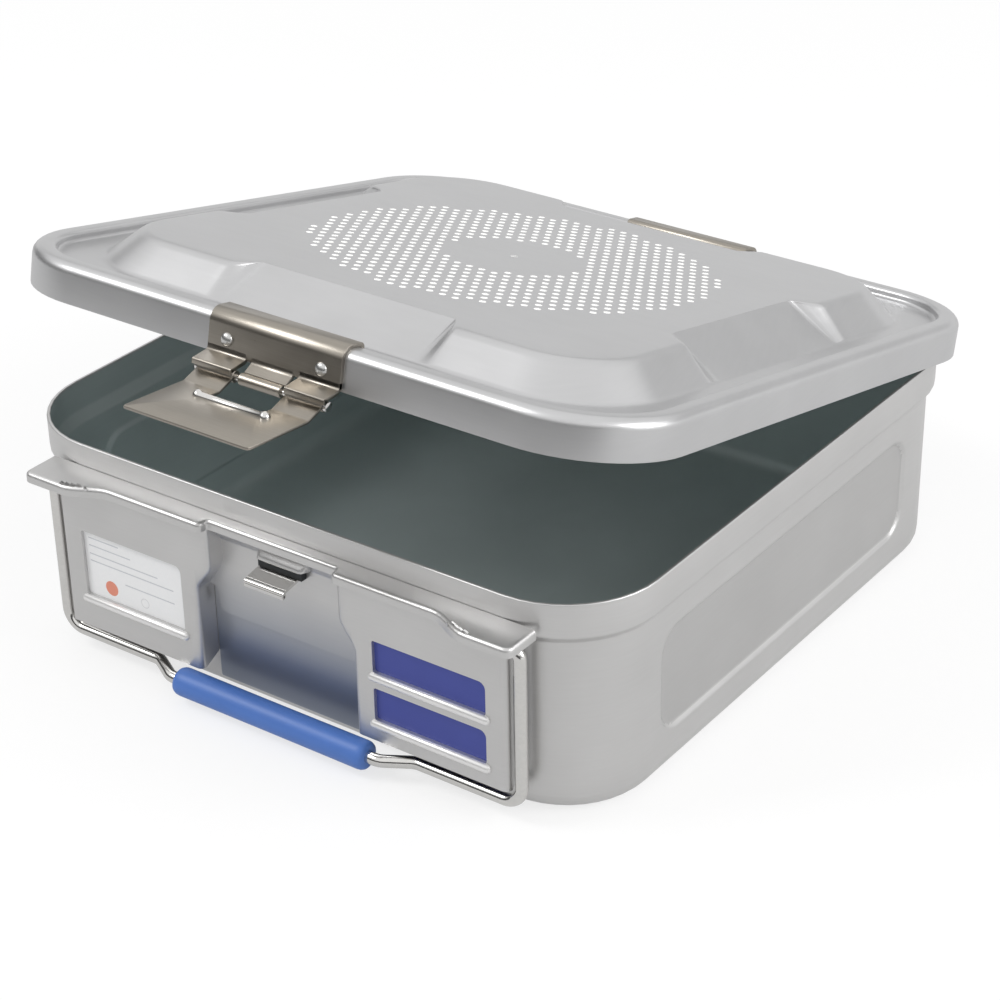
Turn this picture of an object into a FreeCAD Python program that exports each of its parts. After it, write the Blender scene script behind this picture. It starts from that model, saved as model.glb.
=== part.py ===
"""Half-size sterilization container: an aluminium base pan with drop handles and a latched lid.

Millimetres, +Z up, front (label and handle side) towards -Y. The origin is the middle of the
base's underside. The lid is drawn flat in its own frame, skirt edge at z = 0, and then lifted
onto the base and tilted open about the pin of the rear latch, which stays closed.
"""
import FreeCAD, Part
import math
import os

V = FreeCAD.Vector

# Base pan
BASE_X = 285.0
BASE_Y = 285.0
BASE_H = 92.0
RIM_R = 40.0
BASE_SHEET = 1.5
RIM_STEP = 3.2
RIM_BAND = 14.0
STEP_RUN = 3.5
FLOOR_FILLET = 8.0
RECESS_LENGTH = 190.0
RECESS_Z = (17.5, 64.0)
RECESS_DEPTH = 1.4
RECESS_R = 12.0

# Carrier plate: flange, centre plate and two raised card holders. OUT is measured from the wall
FLANGE_DROP = 9.3
FLANGE_HEM = 4.0
CARRIER_SHEET = 1.5
FLANGE_MID = (31.5, 9.0)
FLANGE_OUTER = (78.0, 13.6)
FLANGE_EAR = (97.0, 20.3)
FLANGE_END_OVER = 4.0
HOLDER_X = (38.6, 108.8)
HOLDER_OUT = 10.6
HOLDER_LOW_Z = 13.4
FLARE_Z = (48.5, 62.0)
HOLDER_RETURN = 4.0
CHEEK_DEPTH = 16.0
CENTRE_LOW_Z = 38.0
CARD_WINDOW = (-98.2, -46.0, 28.6, 57.8)
UPPER_WINDOW = (47.8, 99.4, 43.9, 57.8)
LOWER_WINDOW = (47.8, 99.4, 22.8, 37.0)
WINDOW_R = 3.5
SILL_HEIGHT = 3.3
SILL_OUT = 1.6
SILL_OVERHANG = 1.6
HOOD_HALF = 11.5
HOOD_DROP = 5.7
HOOD_HEIGHT = 8.1
HOOD_OUT = 4.2
CARD_SHEET = 0.4
PLATE_SHEET = 0.9
INSERT_LAP = 2.0
CARRIER_RIVET_X = 26.0
CARRIER_RIVET_Z = (46.0, 68.0)
RIVET_R = 2.0
RIVET_HEAD_R = 3.6

# Drop handle
WIRE_R = 2.5
LEG_GAP = 1.7
HANDLE_OUT = 7.7
PIVOT_DROP = 8.7
PIVOT_REACH = 0.8
PIVOT_CLEARANCE = 0.06
HANDLE_LOW_Z = 8.0
HANDLE_BEND_R = 8.0
GRIP_HALF = 47.0
GRIP_R = 5.9
GRIP_OUT = 14.7
GRIP_BEVEL = 1.5
JOG_START = 5.0
JOG_END = 17.0

# Lid pan, in the lid's own frame
LID_GAP = 4.3
LID_SHEET = 1.2
RIM_TOP = 15.5
BEAD_R = 4.0
BEAD_WIDTH = 9.3
GROOVE_DEPTH = 4.0
FOOT_INSET = 21.0
FOOT_R = 40.0
PLATEAU_Z = 24.0
PLATEAU_INSET = 34.0
PLATEAU_R = 30.0
SHOULDER_R = 3.5
SIDE_RECESS_HALF = 47.0
SIDE_RECESS_FLARE = 6.0
SIDE_RECESS_INSET = 45.0
FIELD_R = (27.0, 85.0)
HOLE_R = 2.0
HOLE_PITCH = 14.0
CENTRE_HOLE_R = 1.5
LID_SEAT_GAP = 0.6
LID_OPEN_DEG = 12.9
GASKET_LOW = 9.0

# Filter and its retainer, under the lid
PAPER_INSIDE = 2.0
PAPER_SHEET = 0.6
RETAINER_R = 94.0
RETAINER_SHEET = 1.2
RETAINER_RIM = 2.4
RETAINER_RIM_WIDTH = 3.0
RETAINER_SLOT_R = (30.0, 80.0)
SLOT_RINGS = 2
SLOT_WEB = 6.0
STUD_R = 4.0
STUD_FLANGE = 3.0
STUD_FLANGE_SHEET = 1.2
HUB_R = 16.0
HUB_H = 7.0
HUB_BEVEL = 1.5
SCOOP_R = 7.0
SCOOP_AT = 20.0
HOOK_COUNT = 3
HOOK_WIDTH = 12.0
HOOK_SHEET = 1.5
HOOK_REACH = 5.0
HOOK_FOOT = 8.0
HOOK_GAP = 0.4
RELEASE_DEG = 30.0

# Latch, on the lid's front edge in the lid's own frame. OUT is measured from the lid's edge
BRACKET_HALF = 31.0
BRACKET_SHEET = 1.6
BRACKET_LOW = 0.8
BRACKET_HOOK = 0.6
TAB_X = (12.5, 31.0)
TAB_OUT = 9.8
TAB_DROP = 2.4
BARREL_HALF = 9.7
PIN_OUT = 6.5
PIN_Z = -4.5
PIN_R = 1.2
EYE_R = 2.4
PIN_HEAD_R = 2.0
PIN_HEAD_GAP = 0.2
ARM_X = (12.3, 29.3)
FLAP_SHEET = 1.2
FOLD_OUT = 15.5
FOLD_DROP = 3.9
FLAP_OUT = 47.6
FLAP_DROP = 7.9
FLAP_CORNER_R = 6.0
ROD_OUT = 22.8
ROD_DROP = 4.9
ROD_R = 1.6
ROD_HALF = 14.5
ROD_KNOB_R = 2.2
LATCH_SWING_DEG = 91.4
BRACKET_RIVET = (22.1, 6.4)
BRACKET_RIVET_R = 2.6
BRACKET_SHANK_R = 1.6
TAIL_R = 2.4
TAIL_SHEET = 0.8

# Keeper that the latch rod hooks under
KEEPER_HALF = 9.5
KEEPER_SHEET = 1.2
KEEPER_TUCK = 0.7
KEEPER_CLEARANCE = 0.32
KEEPER_ROOT_DROP = 3.0
KEEPER_SLOPE = 2.2

# Places that follow from the sizes above
HALF_X = BASE_X / 2
HALF_Y = BASE_Y / 2
WALL_X = HALF_X - RIM_STEP
WALL_Y = HALF_Y - RIM_STEP
STEP_TOP_Z = BASE_H - RIM_BAND
STEP_LOW_Z = STEP_TOP_Z - STEP_RUN
FLANGE_TOP_Z = BASE_H - FLANGE_DROP
HOLDER_FACE_Y = WALL_Y + HOLDER_OUT
HOOD_TOP_Z = FLANGE_TOP_Z - HOOD_DROP
HOOD_LOW_Z = HOOD_TOP_Z - HOOD_HEIGHT
HANDLE_Y = WALL_Y + HANDLE_OUT
HANDLE_PIVOT_Z = FLANGE_TOP_Z - PIVOT_DROP
HANDLE_LEG_X = HOLDER_X[1] + WIRE_R + LEG_GAP
HANDLE_END_X = HOLDER_X[1] - CARRIER_SHEET - PIVOT_REACH
FLANGE_END_X = HANDLE_LEG_X + FLANGE_END_OVER
GRIP_Y = WALL_Y + GRIP_OUT
LID_A = HALF_X + LID_GAP + LID_SHEET
LID_B = HALF_Y + LID_GAP + LID_SHEET
LID_R = RIM_R + LID_GAP - 0.8
LID_LIFT_Z = FLANGE_TOP_Z + LID_SEAT_GAP
GROOVE_Z = RIM_TOP - GROOVE_DEPTH
PAPER_R = RETAINER_R - PAPER_INSIDE
PIN_Y = LID_B + PIN_OUT
ROD = (LID_B + ROD_OUT, PIN_Z - ROD_DROP)
ROD_ORBIT = math.hypot(ROD[0] - PIN_Y, ROD[1] - PIN_Z)
KEEPER_TONGUE_Y = PIN_Y - KEEPER_TUCK
KEEPER_LIP_Z = LID_LIFT_Z + PIN_Z - ROD_ORBIT + ROD_R + KEEPER_CLEARANCE


def rounded_wire(half_x, half_y, radius, z):
    """Closed rounded rectangle about the Z axis, at height z."""
    x, y = half_x - radius, half_y - radius
    diagonal = radius * math.sqrt(0.5)
    corners = [(x, y, 1, 1), (-x, y, -1, 1), (-x, -y, -1, -1), (x, -y, 1, -1)]
    edges = []
    for index, (cx, cy, sx, sy) in enumerate(corners):
        side = V(cx + sx * radius, cy, z)
        end = V(cx, cy + sy * radius, z)
        middle = V(cx + sx * diagonal, cy + sy * diagonal, z)
        start, finish = (side, end) if index % 2 == 0 else (end, side)
        if edges:
            edges.append(Part.makeLine(edges[-1].Vertexes[-1].Point, start))
        edges.append(Part.Arc(start, middle, finish).toShape())
    edges.append(Part.makeLine(edges[-1].Vertexes[-1].Point, edges[0].Vertexes[0].Point))
    return Part.Wire(edges)


def rounded_prism(half_x, half_y, radius, low, high):
    face = Part.Face(rounded_wire(half_x, half_y, radius, low))
    return face.extrude(V(0, 0, high - low))


def rounded_loft(sections):
    """Ruled solid through (half_x, half_y, radius, z) sections."""
    return Part.makeLoft([rounded_wire(*section) for section in sections], True, True)


def edges_at(shape, z, tolerance=0.01):
    """Edges of a shape that lie wholly at height z."""
    return [e for e in shape.Edges
            if abs(e.BoundBox.ZMin - z) < tolerance and abs(e.BoundBox.ZMax - z) < tolerance]


def profile_x(points, x0, x1):
    """Closed polygon of (y, z) points, extruded from x0 to x1."""
    corners = [V(x0, y, z) for y, z in points]
    return Part.Face(Part.makePolygon(corners + corners[:1])).extrude(V(x1 - x0, 0, 0))


def profile_z(points, low, high):
    """Closed polygon of (x, y) points, extruded from low to high."""
    corners = [V(x, y, low) for x, y in points]
    return Part.Face(Part.makePolygon(corners + corners[:1])).extrude(V(0, 0, high - low))


def box(x0, x1, y0, y1, z0, z1):
    return Part.makeBox(x1 - x0, y1 - y0, z1 - z0, V(x0, y0, z0))


def bar_x(radius, y, z, x0, x1):
    return Part.makeCylinder(radius, x1 - x0, V(x0, y, z), V(1, 0, 0))


def fuse_all(shapes):
    return shapes[0].multiFuse(shapes[1:]).removeSplitter()


def mirror_x(shape):
    return shape.mirror(V(0, 0, 0), V(1, 0, 0))


def offset_strip(points, sheet):
    """Polygon of a bent strip: the (y, z) line and the same line moved by the sheet to its left."""
    left = []
    for index, (y, z) in enumerate(points):
        before = points[max(index - 1, 0)]
        after = points[min(index + 1, len(points) - 1)]
        directions = []
        for start, end in ((before, (y, z)), ((y, z), after)):
            length = math.hypot(end[0] - start[0], end[1] - start[1])
            if length > 0:
                directions.append(((end[0] - start[0]) / length, (end[1] - start[1]) / length))
        normals = [(-dz, dy) for dy, dz in directions]
        ny = sum(n[0] for n in normals)
        nz = sum(n[1] for n in normals)
        scale = sheet * len(normals) / (ny * ny + nz * nz)
        left.append((y + ny * scale, z + nz * scale))
    return points + left[::-1]


def rear(shape):
    """The same piece at the other end of the container."""
    return shape.copy().rotated(V(0, 0, 0), V(0, 0, 1), 180)


def seat_lid(shape):
    """From the lid's own frame to its open place on the base."""
    seated = shape.copy().translated(V(0, 0, LID_LIFT_Z))
    return seated.rotated(V(0, PIN_Y, LID_LIFT_Z + PIN_Z), V(1, 0, 0), -LID_OPEN_DEG)


def side_recess(grow):
    """Pressed panel in the right side wall; grow is how far past it the cutter reaches."""
    outer, depth = WALL_X + 1.0, RECESS_DEPTH + grow
    middle_z = sum(RECESS_Z) / 2
    half_z = (RECESS_Z[1] - RECESS_Z[0]) / 2
    wires = []
    for x, shrink in ((outer, -1.0), (WALL_X - depth, RECESS_DEPTH)):
        half_y = RECESS_LENGTH / 2 - shrink + grow
        half = half_z - shrink + grow
        wire = rounded_wire(half_y, half, RECESS_R - shrink, 0)
        wire = wire.rotated(V(0, 0, 0), V(1, 0, 0), 90).rotated(V(0, 0, 0), V(0, 0, 1), 90)
        wires.append(wire.translated(V(x, 0, middle_z)))
    return Part.makeLoft(wires, True, True)


def base_form(sheet, top):
    """Outer form of the base pan, or its cavity when a sheet thickness is given."""
    def section(inset, z):
        shrink = inset + sheet
        return (HALF_X - shrink, HALF_Y - shrink, RIM_R - shrink, z)

    low = sheet
    form = rounded_loft([section(RIM_STEP, low), section(RIM_STEP, STEP_LOW_Z),
                         section(0, STEP_TOP_Z), section(0, top)])
    form = form.makeFillet(FLOOR_FILLET - sheet, edges_at(form, low))
    recess = side_recess(sheet)
    return form.cut(recess).cut(mirror_x(recess))


def base_pan():
    """Drawn pan with rivet holes at the front and the rear."""
    pan = base_form(0, BASE_H).cut(base_form(BASE_SHEET, BASE_H + 1))
    shanks = Part.makeCompound(carrier_shanks())
    return pan.cut(shanks).cut(rear(shanks))


def flange_outline(inset):
    """Front half of the flange in plan, from the rim band outwards."""
    end = FLANGE_END_X - inset
    mid_x, mid_y = FLANGE_MID[0], WALL_Y + FLANGE_MID[1] - inset
    outer_x, outer_y = FLANGE_OUTER[0], WALL_Y + FLANGE_OUTER[1] - inset
    ear_x, ear_y = FLANGE_EAR[0], WALL_Y + FLANGE_EAR[1] - inset
    back = HALF_Y

    def half(s):
        points = [V(0, -mid_y, 0), V(s * mid_x, -mid_y, 0), V(s * mid_x, -outer_y, 0),
                  V(s * outer_x, -outer_y, 0), V(s * ear_x, -ear_y, 0), V(s * end, -ear_y, 0),
                  V(s * end, -back, 0)]
        edges = [Part.makeLine(points[i], points[i + 1]) for i in range(3)]
        sweep = Part.BezierCurve()
        lead = (ear_x - outer_x) / 2
        sweep.setPoles([points[3], V(s * (outer_x + lead), -outer_y, 0),
                        V(s * (ear_x - lead), -ear_y, 0), points[4]])
        edges.append(sweep.toShape())
        edges += [Part.makeLine(points[i], points[i + 1]) for i in range(4, 6)]
        return edges

    right, left = half(1), half(-1)
    back_edge = Part.makeLine(V(end, -back, 0), V(-end, -back, 0))
    return Part.Wire(Part.__sortEdges__(right + [back_edge] + left))


def flange():
    """Rolled flange: a flat top with its front and end edges turned down."""
    top = Part.Face(flange_outline(0)).extrude(V(0, 0, FLANGE_HEM))
    hollow = Part.Face(flange_outline(CARRIER_SHEET)).extrude(V(0, 0, FLANGE_HEM - CARRIER_SHEET))
    shape = top.cut(hollow)
    front = [e for e in edges_at(shape, FLANGE_HEM)
             if e.BoundBox.YMax < -HALF_Y - 0.01 or e.BoundBox.XLength < 0.01]
    shape = shape.makeFillet(CARRIER_SHEET * 0.8, front)
    return shape.translated(V(0, 0, FLANGE_TOP_Z - FLANGE_HEM))


def window(bounds, y0, y1, grow=0.0):
    """Prism through a holder window, with its upper right corner rounded."""
    x0, x1, z0, z1 = bounds
    shape = box(x0 - grow, x1 + grow, y0, y1, z0 - grow, z1 + grow)
    corner = [e for e in shape.Edges if e.BoundBox.XMin > x1 + grow - 0.01
              and e.BoundBox.ZMin > z1 + grow - 0.01]
    return shape.makeFillet(WINDOW_R, corner) if grow == 0 else shape


def sill(bounds):
    """Rolled lip under a window."""
    x0, x1, low, _ = bounds
    shape = box(x0 - SILL_OVERHANG, x1 + SILL_OVERHANG, -HOLDER_FACE_Y - SILL_OUT,
                -HOLDER_FACE_Y, low - SILL_HEIGHT, low)
    front = [e for e in shape.Edges if e.BoundBox.YMax < -HOLDER_FACE_Y - SILL_OUT + 0.01
             and e.BoundBox.XLength > 1]
    return shape.makeFillet(SILL_OUT * 0.7, front)


def holder_outline(inset, low, high):
    """Front view of the right holder: its inner side swings in to the flange's middle step."""
    inner, outer = HOLDER_X[0] + inset, HOLDER_X[1] - inset
    waist = FLANGE_MID[0] + inset
    start, finish = FLARE_Z
    lead = (finish - start) / 2
    sweep = Part.BezierCurve()
    sweep.setPoles([V(inner, 0, start), V(inner, 0, start + lead), V(waist, 0, finish - lead),
                    V(waist, 0, finish)])
    edges = [Part.makeLine(V(inner, 0, low), V(inner, 0, start)), sweep.toShape(),
             Part.makeLine(V(waist, 0, finish), V(waist, 0, high)),
             Part.makeLine(V(waist, 0, high), V(outer, 0, high)),
             Part.makeLine(V(outer, 0, high), V(outer, 0, low)),
             Part.makeLine(V(outer, 0, low), V(inner, 0, low))]
    return Part.Face(Part.Wire(edges))


def card_holder():
    """Right-hand raised holder: face, inner wall, open outer return and a cheek for the handle."""
    t = CARRIER_SHEET
    back = -WALL_Y
    top = FLANGE_TOP_Z - t
    shell = holder_outline(0, HOLDER_LOW_Z, top).translated(V(0, -HOLDER_FACE_Y, 0))
    shell = shell.extrude(V(0, HOLDER_OUT, 0))
    upright = [e for e in shell.Edges if e.BoundBox.ZLength > 1
               and e.BoundBox.YMax < -HOLDER_FACE_Y + 0.01]
    shell = shell.makeFillet(t * 1.4, upright)
    room = holder_outline(t, HOLDER_LOW_Z - 1, top + 1).translated(V(0, t - HOLDER_FACE_Y, 0))
    shell = shell.cut(room.extrude(V(0, HOLDER_OUT, 0)))
    x0, x1 = FLANGE_MID[0], HOLDER_X[1]
    cheek_low = FLANGE_TOP_Z - CHEEK_DEPTH
    open_side = box(x1 - t - 1, x1 + 1, -HOLDER_FACE_Y + HOLDER_RETURN, back + 1,
                    HOLDER_LOW_Z - 1, cheek_low)
    rim_room = box(x0 - 1, x1 + 1, -HALF_Y, back + 1, STEP_LOW_Z - 1, top + 1)
    hole = bar_x(WIRE_R + PIVOT_CLEARANCE, -HANDLE_Y, HANDLE_PIVOT_Z, HANDLE_END_X - 1, x1 + 1)
    return shell.cut(open_side).cut(rim_room).cut(hole)


def centre_plate():
    """Flat plate on the wall between the holders, stepped out over the rim band."""
    t = CARRIER_SHEET
    line = [(-WALL_Y, CENTRE_LOW_Z), (-WALL_Y, STEP_LOW_Z - 1), (-HALF_Y, STEP_TOP_Z - 1),
            (-HALF_Y, FLANGE_TOP_Z - t)]
    plate = profile_x(offset_strip(line, t), -HOLDER_X[0] - t / 2, HOLDER_X[0] + t / 2)
    low_corners = [e for e in plate.Edges if abs(e.BoundBox.ZMax - CENTRE_LOW_Z) < 0.01
                   and e.BoundBox.YLength > 1]
    return plate.makeChamfer(t, low_corners)


def keeper_hood():
    """Pressed hood over the keeper, and the room behind it."""
    face, out = -WALL_Y - CARRIER_SHEET, -WALL_Y - CARRIER_SHEET - HOOD_OUT
    low, high = HOOD_LOW_Z, HOOD_TOP_Z
    outside = profile_x([(face, high), (out, low + 1), (out, low), (face, low)],
                        -HOOD_HALF, HOOD_HALF)
    t = CARRIER_SHEET
    inside = profile_x([(face + t, high - t), (out + t, low + 1), (out + t, low - 3),
                        (face + t, low - 3)], -HOOD_HALF + t, HOOD_HALF - t)
    return outside, inside


def wall_room():
    """Space that the wall of the base and its rim band take behind the carrier."""
    line = [(-WALL_Y, 0), (-WALL_Y, STEP_LOW_Z), (-HALF_Y, STEP_TOP_Z), (-HALF_Y, BASE_H),
            (0, BASE_H), (0, 0)]
    return profile_x(line, -HOOD_HALF - 1, HOOD_HALF + 1)


def carrier_plate():
    """One stamping: flange, centre plate, holders with windows and sills."""
    holder = card_holder()
    hood, hood_room = keeper_hood()
    pieces = [flange(), centre_plate(), holder, mirror_x(holder), hood]
    pieces += [sill(w) for w in (CARD_WINDOW, UPPER_WINDOW, LOWER_WINDOW)]
    plate = fuse_all(pieces)
    for bounds in (CARD_WINDOW, UPPER_WINDOW, LOWER_WINDOW):
        plate = plate.cut(window(bounds, -HOLDER_FACE_Y - SILL_OUT - 1, -HOLDER_FACE_Y + 2))
    return plate.cut(hood_room).cut(wall_room()).cut(Part.makeCompound(carrier_shanks()))


def holder_insert(bounds, sheet):
    """Card or name plate lying against the back of a holder's face."""
    back = -HOLDER_FACE_Y + CARRIER_SHEET
    return window(bounds, back, back + sheet, INSERT_LAP)


def keeper():
    """Bent steel strip: root on the wall, tongue out through the hood, front edge turned down."""
    t = KEEPER_SHEET
    root = -WALL_Y - t
    tongue_z = HOOD_LOW_Z - 0.3
    edge_z = tongue_z - KEEPER_SLOPE
    line = [(root, HOOD_TOP_Z - KEEPER_ROOT_DROP), (root, tongue_z - t / 2),
            (-KEEPER_TONGUE_Y + t, edge_z), (-KEEPER_TONGUE_Y, edge_z - t),
            (-KEEPER_TONGUE_Y, KEEPER_LIP_Z)]
    return profile_x(offset_strip(line, t), -KEEPER_HALF, KEEPER_HALF)


def rivet_head(radius, seat, outward):
    """Low domed head in two cones on a seat point."""
    rise = radius * 0.3
    skirt = Part.makeCone(radius, radius * 0.8, rise, seat, outward)
    crown = Part.makeCone(radius * 0.8, radius * 0.35, rise * 0.6, seat + outward * rise, outward)
    return skirt.fuse(crown)


def carrier_shanks():
    """Rivet shanks through the centre plate and the wall of the base."""
    front = -WALL_Y - CARRIER_SHEET
    length = CARRIER_SHEET + BASE_SHEET
    return [Part.makeCylinder(RIVET_R, length, V(x, front, z), V(0, 1, 0))
            for x in (-CARRIER_RIVET_X, CARRIER_RIVET_X) for z in CARRIER_RIVET_Z]


def carrier_rivets():
    """Rivets, flush on the centre plate and domed inside the base."""
    shapes = []
    for shank in carrier_shanks():
        x, z = shank.CenterOfMass.x, shank.CenterOfMass.z
        head = rivet_head(RIVET_HEAD_R, V(x, -WALL_Y + BASE_SHEET, z), V(0, 1, 0))
        shapes.append(fuse_all([shank, head]))
    return shapes


def bent_path(points, radii):
    """Wire through points with a tangent arc at each inner point."""
    edges = []
    start = points[0]
    for before, corner, after, radius in zip(points, points[1:], points[2:], radii):
        incoming = (corner - before).normalize()
        outgoing = (after - corner).normalize()
        turn = incoming.getAngle(outgoing)
        cut = radius * math.tan(turn / 2)
        arc_start = corner - incoming * cut
        arc_end = corner + outgoing * cut
        towards = (outgoing - incoming).normalize()
        middle = corner + towards * (radius / math.cos(turn / 2) - radius)
        edges.append(Part.makeLine(start, arc_start))
        edges.append(Part.Arc(arc_start, middle, arc_end).toShape())
        start = arc_end
    edges.append(Part.makeLine(start, points[-1]))
    return Part.Wire(edges)


def handle_wire():
    """Round wire bail: pivot ends turned in, legs down, jogged out to the grip."""
    jog_x, run_x = GRIP_HALF + JOG_START, GRIP_HALF + JOG_END
    half = [V(HANDLE_END_X, -HANDLE_Y, HANDLE_PIVOT_Z), V(HANDLE_LEG_X, -HANDLE_Y, HANDLE_PIVOT_Z),
            V(HANDLE_LEG_X, -HANDLE_Y, HANDLE_LOW_Z), V(run_x, -HANDLE_Y, HANDLE_LOW_Z),
            V(jog_x, -GRIP_Y, HANDLE_LOW_Z)]
    points = half + [V(-p.x, p.y, p.z) for p in half[::-1]]
    top_bend = WIRE_R * 1.2
    radii = [top_bend, HANDLE_BEND_R, HANDLE_BEND_R, HANDLE_BEND_R]
    path = bent_path(points, radii + radii[::-1])
    section = Part.Wire(Part.makeCircle(WIRE_R, points[0], V(1, 0, 0)))
    return path.makePipeShell([section], True, False)


def handle_grip():
    """Soft sleeve moulded on the straight middle of the wire."""
    sleeve = bar_x(GRIP_R, -GRIP_Y, HANDLE_LOW_Z, -GRIP_HALF, GRIP_HALF)
    ends = [e for e in sleeve.Edges if e.BoundBox.XLength < 0.01]
    sleeve = sleeve.makeChamfer(GRIP_BEVEL, ends)
    return sleeve.cut(bar_x(WIRE_R, -GRIP_Y, HANDLE_LOW_Z, -GRIP_HALF - 1, GRIP_HALF + 1))


def lid_form(sheet):
    """Outer form of the lid pan, or the form under it when a sheet thickness is given."""
    low = 0 if sheet == 0 else -1
    rim = rounded_prism(LID_A - sheet, LID_B - sheet, LID_R - sheet, low, RIM_TOP - sheet)
    rim = rim.makeFillet(BEAD_R - sheet, edges_at(rim, RIM_TOP - sheet))
    inner = BEAD_WIDTH - sheet
    groove = rounded_prism(LID_A - inner, LID_B - inner, LID_R - inner,
                           GROOVE_Z - sheet, RIM_TOP + 1)
    return rim.cut(groove).fuse(plateau_form(sheet))


def plateau_form(sheet):
    """Raised middle of the lid, with soft lobes and a crisp crease along each recessed side."""
    foot = FOOT_INSET + sheet / 2
    top = PLATEAU_INSET + sheet / 2
    high = PLATEAU_Z - sheet
    form = rounded_loft([(LID_A - foot, LID_B - foot, FOOT_R, GROOVE_Z - sheet - 1),
                         (LID_A - foot, LID_B - foot, FOOT_R, GROOVE_Z - sheet),
                         (LID_A - top, LID_B - top, PLATEAU_R, high)])
    for turn, reach in ((0, LID_B), (90, LID_A), (180, LID_B), (270, LID_A)):
        wedge = side_slope(sheet, reach)
        form = form.cut(wedge.rotated(V(0, 0, 0), V(0, 0, 1), turn))
    crease_x = LID_A - SIDE_RECESS_INSET - sheet / 2
    crease_y = LID_B - SIDE_RECESS_INSET - sheet / 2
    shoulders = [e for e in edges_at(form, high)
                 if abs(abs(e.CenterOfMass.x) - crease_x) > 0.1
                 and abs(abs(e.CenterOfMass.y) - crease_y) > 0.1]
    return form.makeFillet(SHOULDER_R - sheet, shoulders)


def side_slope(sheet, reach):
    """Wedge that presses the middle of the front plateau side back to its crease."""
    crease, foot = reach - SIDE_RECESS_INSET - sheet / 2, reach - FOOT_INSET - sheet / 2
    low, high = GROOVE_Z - sheet, PLATEAU_Z - sheet
    rise = (high - low) / (foot - crease)
    over = 2.0
    section = [(-crease, high), (-foot, low), (-foot - over, low), (-foot - over, high + over),
               (-crease + over / rise, high + over)]
    half = SIDE_RECESS_HALF + sheet
    wide = half + SIDE_RECESS_FLARE
    wedge = profile_x(section, -wide, wide)
    plan = [(-half, -crease), (-wide, -foot - over), (wide, -foot - over), (half, -crease),
            (half, -crease + over / rise), (-half, -crease + over / rise)]
    return wedge.common(profile_z(plan, low, high + over))


def field_holes():
    """Centres of the hexagonal pattern of vent holes round the plain middle of the lid."""
    row_step = HOLE_PITCH * math.sin(math.pi / 3)
    rows = int(FIELD_R[1] / row_step) + 1
    centres = []
    for row in range(-rows, rows + 1):
        shift = HOLE_PITCH / 2 if row % 2 else 0.0
        for column in range(-rows, rows + 1):
            x, y = column * HOLE_PITCH + shift, row * row_step
            if FIELD_R[0] + HOLE_R < math.hypot(x, y) < FIELD_R[1] - HOLE_R / 2:
                centres.append((x, y))
    return centres


def vent_drill(x, y, low, tall):
    """Eight-sided drill of a round vent's area, which keeps the lid's facets few."""
    reach = HOLE_R * math.sqrt(math.pi / (8 * math.tan(math.pi / 8))) / math.cos(math.pi / 8)
    turns = [math.radians(22.5 + 45 * i) for i in range(8)]
    points = [(x + reach * math.cos(a), y + reach * math.sin(a)) for a in turns]
    return profile_z(points, low, low + tall)


def lid_pan():
    """Stamped lid: skirt, rolled bead, gutter, raised middle and its vent holes."""
    pan = lid_form(0).cut(lid_form(LID_SHEET))
    low, tall = PLATEAU_Z - LID_SHEET - 1, LID_SHEET + 2
    drills = [vent_drill(x, y, low, tall) for x, y in field_holes()]
    drills.append(Part.makeCylinder(CENTRE_HOLE_R, tall, V(0, 0, low)))
    shanks = Part.makeCompound(bracket_shanks())
    return pan.cut(Part.makeCompound(drills)).cut(shanks).cut(rear(shanks))


def lid_gasket():
    """Seal that fills the channel under the lid's bead and meets the rim of the base."""
    outer, inner = LID_SHEET, BEAD_WIDTH - LID_SHEET
    top = RIM_TOP - LID_SHEET
    ring = rounded_prism(LID_A - outer, LID_B - outer, LID_R - outer, GASKET_LOW, top)
    ring = ring.makeFillet(BEAD_R - LID_SHEET, edges_at(ring, top))
    hole = rounded_prism(LID_A - inner, LID_B - inner, LID_R - inner, GASKET_LOW - 1, top + 1)
    return ring.cut(hole)


def filter_paper():
    top = PLATEAU_Z - LID_SHEET
    disc = Part.makeCylinder(PAPER_R, PAPER_SHEET, V(0, 0, top - PAPER_SHEET))
    return disc.cut(Part.makeCylinder(STUD_R, 5, V(0, 0, top - 3)))


def retainer_levels():
    """Top of the retainer's rim, underside of its plate and underside of its rim."""
    top = PLATEAU_Z - LID_SHEET - PAPER_SHEET
    return top, top - RETAINER_SHEET, top - RETAINER_RIM


def arc_slot(radius_in, radius_out, half_angle, low, high):
    """Ring sector about the Z axis, centred on +X."""
    ring = Part.makeCylinder(radius_out, high - low, V(0, 0, low))
    ring = ring.cut(Part.makeCylinder(radius_in, high - low, V(0, 0, low)))
    reach = 2 * radius_out
    dy = reach * math.tan(math.radians(half_angle))
    return ring.common(profile_z([(0, 0), (reach, -dy), (reach, dy)], low, high))


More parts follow.
